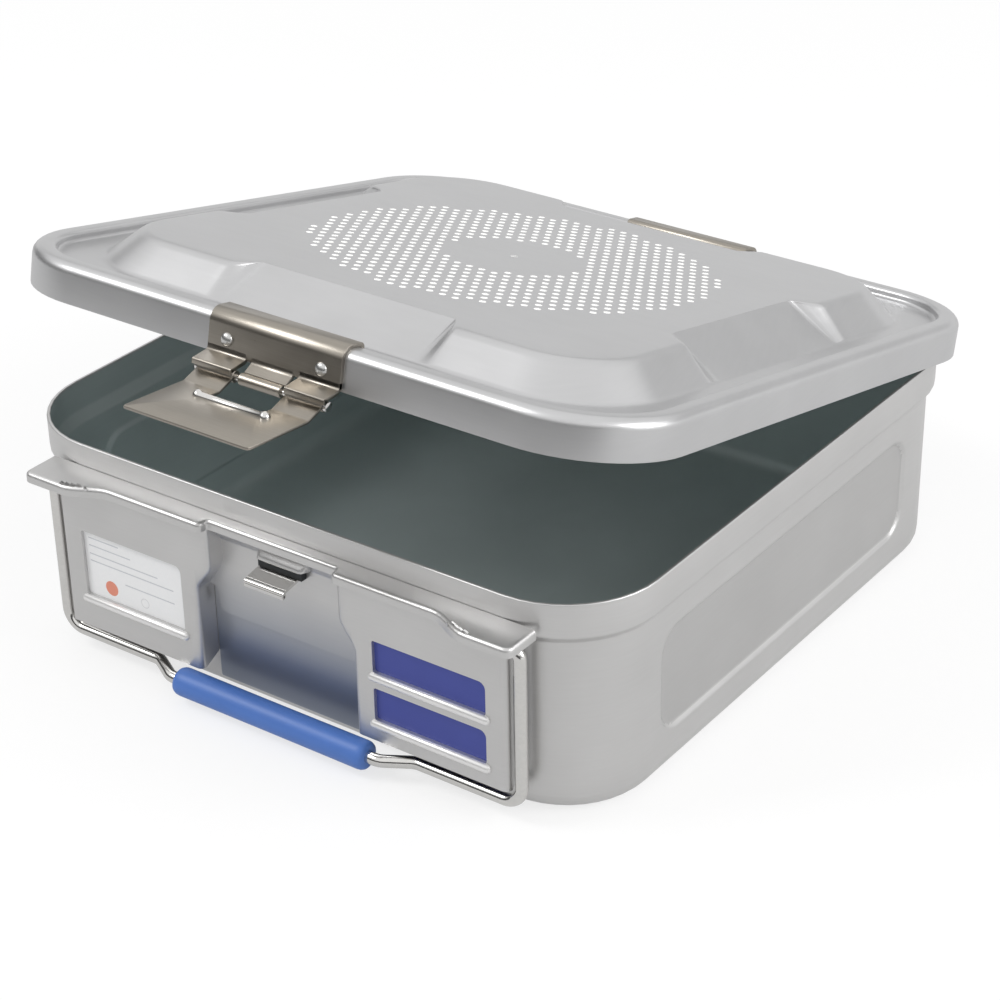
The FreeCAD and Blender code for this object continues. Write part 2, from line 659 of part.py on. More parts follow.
def filter_retainer():
    """Pressed disc with vent slots, a stiff rim and three notches that clear the hooks."""
    top, plate_low, rim_low = retainer_levels()
    plate = Part.makeCylinder(RETAINER_R, top - plate_low, V(0, 0, plate_low))
    rim = Part.makeCylinder(RETAINER_R, top - rim_low, V(0, 0, rim_low))
    rim = rim.cut(Part.makeCylinder(RETAINER_R - RETAINER_RIM_WIDTH, top - rim_low + 1,
                                    V(0, 0, rim_low)))
    disc = plate.fuse(rim).removeSplitter()
    cuts = [Part.makeCylinder(STUD_R + PIVOT_CLEARANCE, 6, V(0, 0, rim_low - 1))]
    inner, outer = RETAINER_SLOT_R
    band = (outer - inner) / SLOT_RINGS
    for ring in range(SLOT_RINGS):
        count = 8 + 8 * ring
        slot = arc_slot(inner + ring * band + SLOT_WEB / 2, inner + (ring + 1) * band - SLOT_WEB / 2,
                        180 / count * 0.75, rim_low - 1, top + 1)
        cuts += [slot.rotated(V(0, 0, 0), V(0, 0, 1), 360 / count * i) for i in range(count)]
    notch = box(RETAINER_R - HOOK_REACH - 1, RETAINER_R + 2, -HOOK_WIDTH / 2 - 1,
                HOOK_WIDTH / 2 + 1, rim_low - 1, top + 1)
    step = 360 / HOOK_COUNT
    cuts += [notch.rotated(V(0, 0, 0), V(0, 0, 1), 90 - RELEASE_DEG + step * i)
             for i in range(HOOK_COUNT)]
    return disc.cut(Part.makeCompound(cuts))


def retainer_hub():
    """Knob in the middle of the retainer, with finger flats, turning on the stud."""
    _, top, _ = retainer_levels()
    knob = Part.makeCylinder(HUB_R, HUB_H, V(0, 0, top - HUB_H))
    knob = knob.makeChamfer(HUB_BEVEL, edges_at(knob, top - HUB_H))
    scoop = Part.makeCylinder(SCOOP_R, HUB_H, V(SCOOP_AT, 0, top - HUB_H - HUB_BEVEL))
    scoops = [scoop.rotated(V(0, 0, 0), V(0, 0, 1), 60 * i) for i in range(6)]
    bore = Part.makeCylinder(STUD_R + PIVOT_CLEARANCE, HUB_H + 2, V(0, 0, top - HUB_H - 1))
    return knob.cut(Part.makeCompound(scoops)).cut(bore)


def retainer_stud():
    """Tubular stud fixed under the middle of the lid, with a flange below the hub."""
    top = PLATEAU_Z - LID_SHEET
    _, plate_low, _ = retainer_levels()
    low = plate_low - HUB_H - HOOK_GAP - STUD_FLANGE_SHEET
    stud = Part.makeCylinder(STUD_R, top - low, V(0, 0, low))
    flange_disc = Part.makeCylinder(STUD_R + STUD_FLANGE, STUD_FLANGE_SHEET, V(0, 0, low))
    bore = Part.makeCylinder(CENTRE_HOLE_R, top - low + 2, V(0, 0, low - 1))
    return stud.fuse(flange_disc).removeSplitter().cut(bore)


def retainer_hooks():
    """Three hooks fixed under the lid that reach below the retainer's rim."""
    top = PLATEAU_Z - LID_SHEET
    _, _, rim_low = retainer_levels()
    t = HOOK_SHEET
    face = RETAINER_R + HOOK_GAP
    low = rim_low - HOOK_GAP
    foot = face + HOOK_FOOT
    line = [(foot, top), (foot, top - t), (face + t, top - t), (face + t, low - t),
            (face - HOOK_REACH, low - t), (face - HOOK_REACH, low), (face, low), (face, top)]
    hook = profile_x(line, -HOOK_WIDTH / 2, HOOK_WIDTH / 2)
    step = 360 / HOOK_COUNT
    return [hook.rotated(V(0, 0, 0), V(0, 0, 1), step * i) for i in range(HOOK_COUNT)]


def latch_bracket():
    """Steel bracket hooked over the lid's bead, with two stop tabs and a rolled hinge barrel."""
    t = BRACKET_SHEET
    y_out, y_in = -LID_B, -LID_B + BEAD_WIDTH
    corner_y, corner_z = y_out + BEAD_R, RIM_TOP - BEAD_R
    bend = [math.radians(90 + 22.5 * (i + 0.5)) for i in range(4)]
    near, far = BEAD_R / math.cos(math.radians(11.25)), (BEAD_R + t) / math.cos(math.radians(11.25))
    inside = [(corner_y + near * math.cos(a), corner_z + near * math.sin(a)) for a in bend]
    outside = [(corner_y + far * math.cos(a), corner_z + far * math.sin(a)) for a in bend[::-1]]
    hook_low = GROOVE_Z + BRACKET_HOOK
    face = y_out - t
    line = [(y_in, hook_low), (y_in, RIM_TOP)] + inside
    line += [(y_out, BRACKET_LOW), (face, BRACKET_LOW)] + outside
    line += [(y_in + t, RIM_TOP + t), (y_in + t, hook_low)]
    body = profile_x(line, -BRACKET_HALF, BRACKET_HALF)
    tab_y = -LID_B - TAB_OUT
    tab = profile_x([(y_out, BRACKET_LOW), (y_out, BRACKET_LOW + t), (face, BRACKET_LOW + t),
                     (tab_y, BRACKET_LOW + t - TAB_DROP), (tab_y, BRACKET_LOW - TAB_DROP),
                     (face, BRACKET_LOW)], *TAB_X)
    tongue_line = [(y_out, BRACKET_LOW + t), (-PIN_Y + EYE_R - t, PIN_Z)]
    tongue = profile_x(offset_strip(tongue_line, -t), -BARREL_HALF, BARREL_HALF)
    barrel = bar_x(EYE_R, -PIN_Y, PIN_Z, -BARREL_HALF, BARREL_HALF)
    bore = bar_x(PIN_R + PIVOT_CLEARANCE, -PIN_Y, PIN_Z, -BRACKET_HALF, BRACKET_HALF)
    bracket = fuse_all([body, tab, mirror_x(tab), tongue, barrel]).cut(bore)
    return bracket.cut(Part.makeCompound(bracket_shanks()))


def bracket_shanks():
    """Rivet shanks through the bracket and the lid's skirt."""
    face = -LID_B - BRACKET_SHEET
    x, z = BRACKET_RIVET
    length = BRACKET_SHEET + LID_SHEET
    return [Part.makeCylinder(BRACKET_SHANK_R, length, V(side * x, face, z), V(0, 1, 0))
            for side in (-1, 1)]


def bracket_rivets():
    """Two rivets through bracket and skirt, domed outside, flat inside."""
    face = -LID_B - BRACKET_SHEET
    shapes = []
    for shank in bracket_shanks():
        x, z = shank.CenterOfMass.x, shank.CenterOfMass.z
        dome = rivet_head(BRACKET_RIVET_R, V(x, face, z), V(0, -1, 0))
        tail = Part.makeCylinder(TAIL_R, TAIL_SHEET, V(x, -LID_B + LID_SHEET, z), V(0, 1, 0))
        shapes.append(fuse_all([dome, shank, tail]))
    return shapes


def latch_pin():
    """Hinge pin through the barrel and the flap's eyes, headed at both ends."""
    head_x = ARM_X[1] + PIN_HEAD_GAP
    pin = bar_x(PIN_R, -PIN_Y, PIN_Z, -BRACKET_HALF, BRACKET_HALF)
    head = bar_x(PIN_HEAD_R, -PIN_Y, PIN_Z, head_x, BRACKET_HALF)
    return fuse_all([pin, head, mirror_x(head)])


def latch_flap():
    """Flap in its lifted place: two arms with rolled eyes, folded into a flat finger plate."""
    pin_y = -PIN_Y
    fold = (-LID_B - FOLD_OUT, PIN_Z - FOLD_DROP)
    edge = (-LID_B - FLAP_OUT, PIN_Z - FLAP_DROP)
    reach = math.hypot(fold[0] - pin_y, fold[1] - PIN_Z)
    uy, uz = (fold[0] - pin_y) / reach, (fold[1] - PIN_Z) / reach
    along, aside = EYE_R - FLAP_SHEET / 2, EYE_R / 2
    start = (pin_y + uy * along + uz * aside, PIN_Z + uz * along - uy * aside)
    strip = profile_x(offset_strip([start, fold, edge], FLAP_SHEET), -ARM_X[1], ARM_X[1])
    corners = [e for e in strip.Edges if e.BoundBox.XLength < 0.01
               and e.BoundBox.YMin < edge[0] + FLAP_SHEET / 4 and e.BoundBox.YLength < FLAP_SHEET]
    strip = strip.makeFillet(FLAP_CORNER_R, corners)
    strip = strip.cut(box(-ARM_X[0], ARM_X[0], -ROD[0] - FLAP_SHEET / 3, pin_y + EYE_R,
                          edge[1] - EYE_R, PIN_Z + EYE_R))
    eye = bar_x(EYE_R, pin_y, PIN_Z, *ARM_X)
    bore = bar_x(PIN_R + PIVOT_CLEARANCE, pin_y, PIN_Z, -BRACKET_HALF, BRACKET_HALF)
    return fuse_all([strip, eye, mirror_x(eye)]).cut(bore).cut(latch_rod())


def latch_rod():
    """Locking rod with knobbed ends, seated across the flap's window."""
    bar = bar_x(ROD_R, -ROD[0], ROD[1], -ROD_HALF, ROD_HALF)
    knob = bar_x(ROD_KNOB_R, -ROD[0], ROD[1], ROD_HALF - ROD_KNOB_R, ROD_HALF + ROD_KNOB_R)
    rims = [e for e in knob.Edges if e.BoundBox.XLength < 0.01]
    knob = knob.makeChamfer(ROD_KNOB_R * 0.4, rims)
    return fuse_all([bar, knob, mirror_x(knob)])


def hang_rear_latch(shape):
    """Rear latch piece in its closed place, hooked under the rear keeper."""
    closed = shape.copy().rotated(V(0, -PIN_Y, PIN_Z), V(1, 0, 0), LATCH_SWING_DEG)
    return rear(closed).translated(V(0, 0, LID_LIFT_Z))


def build():
    front_carrier = carrier_plate()
    nodes = {
        "base_pan": base_pan(),
        "front_carrier_plate": front_carrier,
        "rear_carrier_plate": rear(front_carrier),
        "front_carrier_rivets": Part.makeCompound(carrier_rivets()),
        "rear_carrier_rivets": rear(Part.makeCompound(carrier_rivets())),
        "front_keeper": keeper(),
        "rear_keeper": rear(keeper()),
        "front_handle_wire": handle_wire(),
        "rear_handle_wire": rear(handle_wire()),
        "front_handle_grip": handle_grip(),
        "rear_handle_grip": rear(handle_grip()),
        "label_card": holder_insert(CARD_WINDOW, CARD_SHEET),
        "name_plate_upper": holder_insert(UPPER_WINDOW, PLATE_SHEET),
        "name_plate_lower": holder_insert(LOWER_WINDOW, PLATE_SHEET),
        "lid_pan": seat_lid(lid_pan()),
        "lid_gasket": seat_lid(lid_gasket()),
        "filter_paper": seat_lid(filter_paper()),
        "filter_retainer": seat_lid(filter_retainer()),
        "retainer_hub": seat_lid(retainer_hub()),
        "retainer_stud": seat_lid(retainer_stud()),
        "retainer_hooks": seat_lid(Part.makeCompound(retainer_hooks())),
        "front_latch_bracket": seat_lid(latch_bracket()),
        "rear_latch_bracket": seat_lid(rear(latch_bracket())),
        "front_bracket_rivets": seat_lid(Part.makeCompound(bracket_rivets())),
        "rear_bracket_rivets": seat_lid(rear(Part.makeCompound(bracket_rivets()))),
        "front_latch_pin": seat_lid(latch_pin()),
        "rear_latch_pin": seat_lid(rear(latch_pin())),
        "front_latch_flap": seat_lid(latch_flap()),
        "rear_latch_flap": hang_rear_latch(latch_flap()),
        "front_latch_rod": seat_lid(latch_rod()),
        "rear_latch_rod": hang_rear_latch(latch_rod()),
    }
    return nodes


def main():
    os.makedirs("parts", exist_ok=True)
    for name, shape in build().items():
        if not shape.isValid():
            raise ValueError(name + " is not a valid solid")
        shape.exportStep("parts/" + name + ".step")
        bounds = shape.BoundBox
        print("%-22s solids %d faces %3d volume %9.1f  x %.1f %.1f  y %.1f %.1f  z %.1f %.1f" % (
            name, len(shape.Solids), len(shape.Faces), shape.Volume, bounds.XMin, bounds.XMax,
            bounds.YMin, bounds.YMax, bounds.ZMin, bounds.ZMax))


main()
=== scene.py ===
"""Dresses the half-size sterilization container: pressed aluminium, steel latches and a blue grip.

Laid out as a Blender add-on. Lengths in the code are millimetres in the container's own frame,
and every mesh is scaled to metres when it is made.
"""
import math

import bmesh
import bpy
from mathutils import Matrix, Vector
from mathutils.geometry import delaunay_2d_cdt


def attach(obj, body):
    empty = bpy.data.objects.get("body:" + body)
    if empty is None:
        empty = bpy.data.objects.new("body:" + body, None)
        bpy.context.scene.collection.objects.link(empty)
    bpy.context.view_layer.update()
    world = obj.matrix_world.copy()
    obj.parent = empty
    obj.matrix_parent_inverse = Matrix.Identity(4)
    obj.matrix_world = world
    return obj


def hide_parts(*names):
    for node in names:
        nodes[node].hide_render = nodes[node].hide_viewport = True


bl_info = {
    "name": "Sterilization container",
    "version": (1, 0, 0),
    "blender": (4, 5, 0),
    "location": "View3D > Sidebar > Container",
    "description": "Builds the pressed base, latched lid, handles and labels of an instrument container",
    "category": "Object",
}

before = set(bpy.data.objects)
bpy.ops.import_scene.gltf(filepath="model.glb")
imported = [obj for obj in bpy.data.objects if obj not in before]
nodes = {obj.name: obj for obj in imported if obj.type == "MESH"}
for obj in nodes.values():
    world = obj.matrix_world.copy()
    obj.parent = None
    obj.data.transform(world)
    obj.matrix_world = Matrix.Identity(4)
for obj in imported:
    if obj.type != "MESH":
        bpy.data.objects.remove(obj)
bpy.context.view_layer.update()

MM = 0.001

# Base pan
HALF = 142.5
BASE_H = 92.0
RIM_R = 40.0
RIM_STEP = 3.2
STEP_LOW, STEP_TOP = 74.5, 78.0
WALL = HALF - RIM_STEP
BASE_SHEET = 1.5
FLOOR_R = 8.0
PANEL_HALF, PANEL_Z, PANEL_DEPTH, PANEL_R = 95.0, (17.5, 64.0), 1.4, 12.0
# Last rows of the pan's outer outline, which run down inside its lip and take the inside finish
LIP_ROWS = 12

# Carrier
FLANGE_TOP = 82.7
HEM = 4.0
ROLL_R = 1.7
BACK_EDGE, LOBE_Y, WAIST_Y, NOTCH_Y = -142.7, -159.6, -152.9, -148.3
FLANGE_HALF, NOTCH_HALF = 117.0, 31.5
CARRIER_SHEET = 1.5
HOLDER_IN, HOLDER_END, HOLDER_FACE = 38.6, 108.8, 149.9
HOLDER_LOW = 13.4
CARD_WINDOW = (-98.2, -46.0, 28.6, 57.8)
UPPER_WINDOW = (47.8, 99.4, 43.9, 57.8)
LOWER_WINDOW = (47.8, 99.4, 22.8, 37.0)
WINDOW_R, TOP_WINDOW_R = 1.0, 3.0
SILL_OUT, SILL_HALF = 1.9, 1.9
# How far past a window each point of a sill's end lies, and the share of the roll left there
SILL_CLOSE = ((2.0, 0.02), (1.8, 0.45), (1.3, 0.8), (0.5, 1.0))
PLATE_HALF, PLATE_Y = 38.9, -WALL - 1.7

# Hood and keeper
HOOD_SHEET, HOOD_HALF = 0.8, 12.4
# Dark box under the hood, put where there is only shade: painted shade
HOOD_SHADE_BOX = (-10.6, 10.6, -WALL - 4.7, -WALL - 1.0, 67.4, 71.2)
KEEPER_SHEET, KEEPER_HALF, KEEPER_Y = 1.1, 9.5, -153.9
KEEPER_BAR, KEEPER_BAR_R = (-152.9, 64.9), 1.15

# Handle
BAIL_R, BAIL_HALF, BAIL_Y = 2.5, 113.0, -147.0
PIVOT_Z, GRIP_Z = 74.0, 8.0
GRIP_Y, GRIP_HALF = -154.0, 47.0

# Lid, in its own flat frame
LID_HALF = 148.0
LID_R = 43.5
LID_SHEET = 1.2
RIM_TOP = 15.5
GROOVE_Z = 11.5
PLATEAU_Z = 24.0
LID_LIFT = 83.3
LID_OPEN = math.radians(12.9)
BEAD_IN, GUTTER_IN = 9.3, 21.0
SLOPE_IN, DENT_IN = 34.0, 45.0
# Inner and outer radius of the field of vents
FIELD = (27.0, 85.0)
MIDDLE_VENT_R = 1.5

# Latch, in the lid's frame
BRACKET_HALF = 31.0
BRACKET_SHEET = 1.6
TAB, TAB_Y = (12.5, 31.0), -157.8
RIVET_X, RIVET_Z = 22.1, 6.4
PIN = (-154.5, -4.5)
BARREL_HALF = 9.7
EYE_R = 2.4
ARM = (12.3, 29.3)
FLAP_SHEET = 1.2
FOLD = (-163.5, -8.4)
FLAP_EDGE = (-195.6, -12.4)
ROD = (-170.8, -9.4)
ROD_HALF, KNOB_R = 15.5, 2.2
LATCH_SWING = math.radians(91.4)

# Stage
FLOOR_GLOW = 0.72
FLOOR_GLOSS = 0.44
ROOM_LIGHT = 0.66
DIM_SKY = 0.42
WALL_R, WALL_HEIGHT, WALL_TONE = 2.4, 0.9, 0.05
WALL_ARC = (160, 325)
LAMPS = (("key", (-1.0, -0.9, 1.5), 0.7, 11.0), ("side", (1.5, 0.3, 0.9), 0.9, 12.5))
LAMP_AIM = Vector((0, 0, 0.06))

# The photograph's view
CAMERA_PLACE = (0.5592, -0.7677, 0.5620)
CAMERA_YAW, CAMERA_PITCH, CAMERA_ROLL = 34.89, 29.34, -0.45
LENS, LENS_SHIFT = 92.44, (-0.05, 0.00867)

# Painted shade: a bluish, darker tone at the foot of the wall between the holders, standing for its shade
# and a painted reflection of the blue grip
PAINTED_SHADE_TONE = (0.19, 0.225, 0.30, 1)

TURN = Matrix.Rotation(math.pi, 4, "Z")


def seat(point_y, point_z, angle):
    """Turn about the X line through a (y, z) point."""
    there = Matrix.Translation((0, point_y, point_z))
    return there @ Matrix.Rotation(angle, 4, "X") @ there.inverted()


LID_SEAT = seat(-PIN[0], LID_LIFT + PIN[1], -LID_OPEN) @ Matrix.Translation((0, 0, LID_LIFT))
REAR_HANG = Matrix.Translation((0, 0, LID_LIFT)) @ TURN @ seat(PIN[0], PIN[1], LATCH_SWING)


def base_place(end):
    """Where a piece of the base stands at the front or the rear."""
    return TURN if end == "rear" else Matrix.Identity(4)


def lid_place(end):
    """Where a piece of the lid stands at the front or the rear."""
    return LID_SEAT @ TURN if end == "rear" else LID_SEAT


# Meshes

def added(name, data):
    """New object of a mesh, lamp or camera, put into the scene."""
    obj = bpy.data.objects.new(name, data)
    bpy.context.scene.collection.objects.link(obj)
    return obj


def make(name, verts, faces, kinds, body, slot, place=None, sharp=35.0, part=None, bevel=0.0,
         thickness=0.0, replaces=(), cut_edge=0):
    """Object from points in millimetres, with its finishes and its modifiers applied, riding on a body."""
    mesh = bpy.data.meshes.new(name)
    mesh.from_pydata([Vector(v) * MM for v in verts], [], faces)
    if place is not None:
        move = Matrix.Translation(place.translation * MM) @ place.to_3x3().to_4x4()
        mesh.transform(move)
    weld(mesh)
    obj = added(name, mesh)
    for kind in kinds.split():
        mesh.materials.append(finish_for(kind))
    if part:
        mesh.polygons.foreach_set("material_index", part)
    mesh.shade_smooth()
    if thickness:
        wall = obj.modifiers.new("Sheet", "SOLIDIFY")
        wall.thickness = thickness * MM
        wall.offset = -1.0
        wall.material_offset_rim = cut_edge
    if bevel:
        edge = obj.modifiers.new("Edges", "BEVEL")
        edge.width = bevel * MM
        edge.segments = 2
        edge.limit_method = "ANGLE"
        edge.angle_limit = math.radians(50)
        edge.use_clamp_overlap = True
    if obj.modifiers:
        graph = bpy.context.evaluated_depsgraph_get()
        solid = bpy.data.meshes.new_from_object(obj.evaluated_get(graph))
        obj.modifiers.clear()
        obj.data = solid
        bpy.data.meshes.remove(mesh)
        mesh = solid
        mesh.name = name
        mesh.shade_smooth()
    mesh.set_sharp_from_angle(angle=math.radians(sharp))
    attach(obj, body)
    if replaces:
        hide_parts(*replaces)


def weld(mesh):
    """Merges points that lie on each other, such as where two strips share an edge."""
    shape = bmesh.new()
    shape.from_mesh(mesh)
    bmesh.ops.remove_doubles(shape, verts=shape.verts, dist=1e-6)
    shape.to_mesh(mesh)
    shape.free()


def circle(sides):
    """Cosine and sine of even steps round a circle."""
    angles = [2 * math.pi * i / sides for i in range(sides)]
    return [(math.cos(a), math.sin(a)) for a in angles]


def arc(*degrees):
    """Cosine and sine of angles given as for range."""
    angles = [math.radians(a) for a in range(*degrees)]
    return [(math.cos(a), math.sin(a)) for a in angles]


def lathe_x(profile, sides):
    """Closed solid turned about the X axis from (x, radius) points."""
    return [(x, r * c, r * s) for x, r in profile for c, s in circle(sides)], capped(len(profile), sides)


def shifted(shape, dx=0.0, dy=0.0, dz=0.0):
    verts, faces = shape
    return [(x + dx, y + dy, z + dz) for x, y, z in verts], faces


def joined(*shapes):
    """Several (verts, faces) as one."""
    verts, faces = [], []
    for more_verts, more_faces in shapes:
        base = len(verts)
        verts += [tuple(v) for v in more_verts]
        faces += [tuple(base + i for i in face) for face in more_faces]
    return verts, faces


def mirrored(shape):
    verts, faces = shape
    return [(-x, y, z) for x, y, z in verts], [face[::-1] for face in faces]


def block(x0, x1, y0, y1, z0, z1):
    verts = [(x, y, z) for x in (x0, x1) for y in (y0, y1) for z in (z0, z1)]
    faces = [(0, 1, 3, 2), (4, 6, 7, 5), (0, 4, 5, 1), (2, 3, 7, 6), (0, 2, 6, 4), (1, 5, 7, 3)]
    return verts, faces


def soft_path(points, radii, steps=6):
    """Polyline with each inner corner rounded, as a list of points with as many per corner."""
    points = [Vector(p) for p in points]
    path = [points[0]]
    for before, corner, after, radius in zip(points, points[1:], points[2:], radii):
        one, two = (corner - before).normalized(), (after - corner).normalized()
        turn = one.angle(two)
        cut = radius * math.tan(turn / 2)
        middle = corner + (two - one).normalized() * (radius / math.cos(turn / 2))
        spoke = corner - one * cut - middle
        across = one * radius
        for i in range(steps + 1):
            a = turn * i / steps
            path.append(middle + spoke * math.cos(a) + across * math.sin(a))
    path.append(points[-1])
    return path


def tube(path, radius, sides):
    """Round bar along a path of points, closed at both ends."""
    verts = []
    side = None
    for i, point in enumerate(path):
        ahead = (path[min(i + 1, len(path) - 1)] - path[max(i - 1, 0)]).normalized()
        if side is None:
            side = ahead.orthogonal().normalized()
        side = (side - ahead * side.dot(ahead)).normalized()
        up = ahead.cross(side)
        verts += [point + side * (radius * c) + up * (radius * s) for c, s in circle(sides)]
    return verts, capped(len(path), sides)


def ring(half, radius, marks_x, marks_y, arc=10):
    """Points round a rounded square as (x, y, side, along); front, right, back, left."""
    straight = half - radius
    points = []
    for side in range(4):
        marks = marks_x if side % 2 == 0 else marks_y
        for a in (-straight, *marks, straight):
            points.append((side, a, half))
        for i in range(1, arc):
            points.append((side, None, math.radians(90 * i / arc)))
    result = []
    for side, a, value in points:
        turn = side * math.pi / 2
        if a is None:
            x = straight + radius * math.sin(value)
            y = -straight - radius * math.cos(value)
        else:
            x, y = a, -value
        result.append((x * math.cos(turn) - y * math.sin(turn),
                       x * math.sin(turn) + y * math.cos(turn), side, a))
    return result


def quads(rows, count, closed=True):
    """Faces between rows of points laid one after another, each row a closed loop or an open line."""
    faces = []
    for k in range(rows - 1):
        for i in range(count if closed else count - 1):
            j = (i + 1) % count
            faces.append((k * count + i, k * count + j, (k + 1) * count + j, (k + 1) * count + i))
    return faces


def capped(rows, count):
    """Faces between closed rows, with a cap on the first row and on the last."""
    size = rows * count
    return quads(rows, count) + [tuple(range(count))[::-1], tuple(range(size - count, size))]


def turned_over(faces):
    return [(a, d, c, b) for a, b, c, d in faces]


def both_halves(half, *middle):
    """Line of points, any points in its middle, and its mirror image in x."""
    return [*half, *middle, *((-x, *rest) for x, *rest in half[::-1])]


def ramp(low, high, value):
    t = min(max((value - low) / (high - low), 0.0), 1.0)
    return t * t * (3 - 2 * t)


def inside(polygon, x, y):
    """Is the point in the polygon?"""
    hit = False
    for (x0, y0), (x1, y1) in zip(polygon, polygon[1:] + polygon[:1]):
        if (y0 > y) != (y1 > y) and x < x0 + (y - y0) * (x1 - x0) / (y1 - y0):
            hit = not hit
    return hit


def centre(points, face):
    """Mean of a face's points, axis by axis."""
    return [sum(values) / len(face) for values in zip(*(points[i] for i in face))]


def cut_sheet(outline, holes, folds, rows=()):
    """Flat blank with holes, split along fold lines (constant u) and rows (constant v)."""
    points, edges = [], []
    for loop in [outline] + holes:
        base = len(points)
        points += [Vector(p) for p in loop]
        edges += [(base + i, base + (i + 1) % len(loop)) for i in range(len(loop))]
    left, low = (min(p[axis] for p in outline) - 1 for axis in (0, 1))
    right, high = (max(p[axis] for p in outline) + 1 for axis in (0, 1))
    for ends in [((u, low), (u, high)) for u in folds] + [((left, v), (right, v)) for v in rows]:
        edges.append((len(points), len(points) + 1))
        points += [Vector(p) for p in ends]
    flat, _, triangles, _, _, _ = delaunay_2d_cdt(points, edges, [], 0, 1e-5)
    kept = []
    for triangle in triangles:
        x, y = centre(flat, triangle)
        if inside(outline, x, y) and not any(inside(hole, x, y) for hole in holes):
            kept.append(tuple(triangle))
    used = sorted({i for triangle in kept for i in triangle})
    index = {old: new for new, old in enumerate(used)}
    return [flat[i] for i in used], [tuple(index[i] for i in triangle) for triangle in kept]


def across_x(y, z, x):
    return x, y, z


def folded(blank, path, across=across_x, swap=False):
    """Wraps a blank round a path: u runs along the path of (a, b) points, v is kept as the third."""
    flat, triangles = blank
    lengths = path_lengths(path)
    verts = []
    for u, v in flat:
        k = 0
        while k < len(lengths) - 2 and u > lengths[k + 1] + 1e-6:
            k += 1
        t = (u - lengths[k]) / (lengths[k + 1] - lengths[k])
        spot = path[k].lerp(path[k + 1], t)
        verts.append(across(spot[0], spot[1], v))
    faces = [triangle[::-1] for triangle in triangles] if swap else triangles
    return verts, faces


def strip(line, x0, x1):
    """Sheet from x0 to x1 folded along a line of (y, z) points."""
    lengths = path_lengths(line)
    outline = [(0, x0), (lengths[-1], x0), (lengths[-1], x1), (0, x1)]
    return folded(cut_sheet(outline, [], lengths[1:-1]), line)


def path_lengths(path):
    """Length along a path at each of its points."""
    total = [0.0]
    for one, two in zip(path, path[1:]):
        total.append(total[-1] + (two - one).length)
    return total


def rounded_loop(x0, x1, z0, z1, radii, steps=6):
    """Rectangle loop with radii for its lower left, lower right, upper right and upper left."""
    corners = [(x0, z0), (x1, z0), (x1, z1), (x0, z1)]
    centres = [(1, 1), (-1, 1), (-1, -1), (1, -1)]
    starts = (180, 270, 0, 90)
    loop = []
    for (cx, cz), (sx, sz), start, r in zip(corners, centres, starts, radii):
        if r == 0:
            loop.append((cx, cz))
            continue
        for i in range(steps + 1):
            a = math.radians(start + 90 * i / steps)
            loop.append((cx + sx * r + r * math.cos(a), cz + sz * r + r * math.sin(a)))
    return loop


# Finishes

class Signal:
    """A shader socket that takes part in an expression."""

    def __init__(self, finish, socket):
        self.finish = finish
        self.socket = socket

    def math(self, operation, first, second):
        return self.finish.node("ShaderNodeMath", {"operation": operation}, {0: first, 1: second})

    def __add__(self, other):
        return self.math("ADD", self, other)

    __radd__ = __add__

    def __sub__(self, other):
        return self.math("SUBTRACT", self, other)

    def __rsub__(self, other):
        return self.math("SUBTRACT", other, self)

    def __mul__(self, other):
        return self.math("MULTIPLY", self, other)

    def __truediv__(self, other):
        return self.math("DIVIDE", self, other)

    def __lt__(self, other):
        return self.math("LESS_THAN", self, other)

    def __gt__(self, other):
        return self.math("GREATER_THAN", self, other)


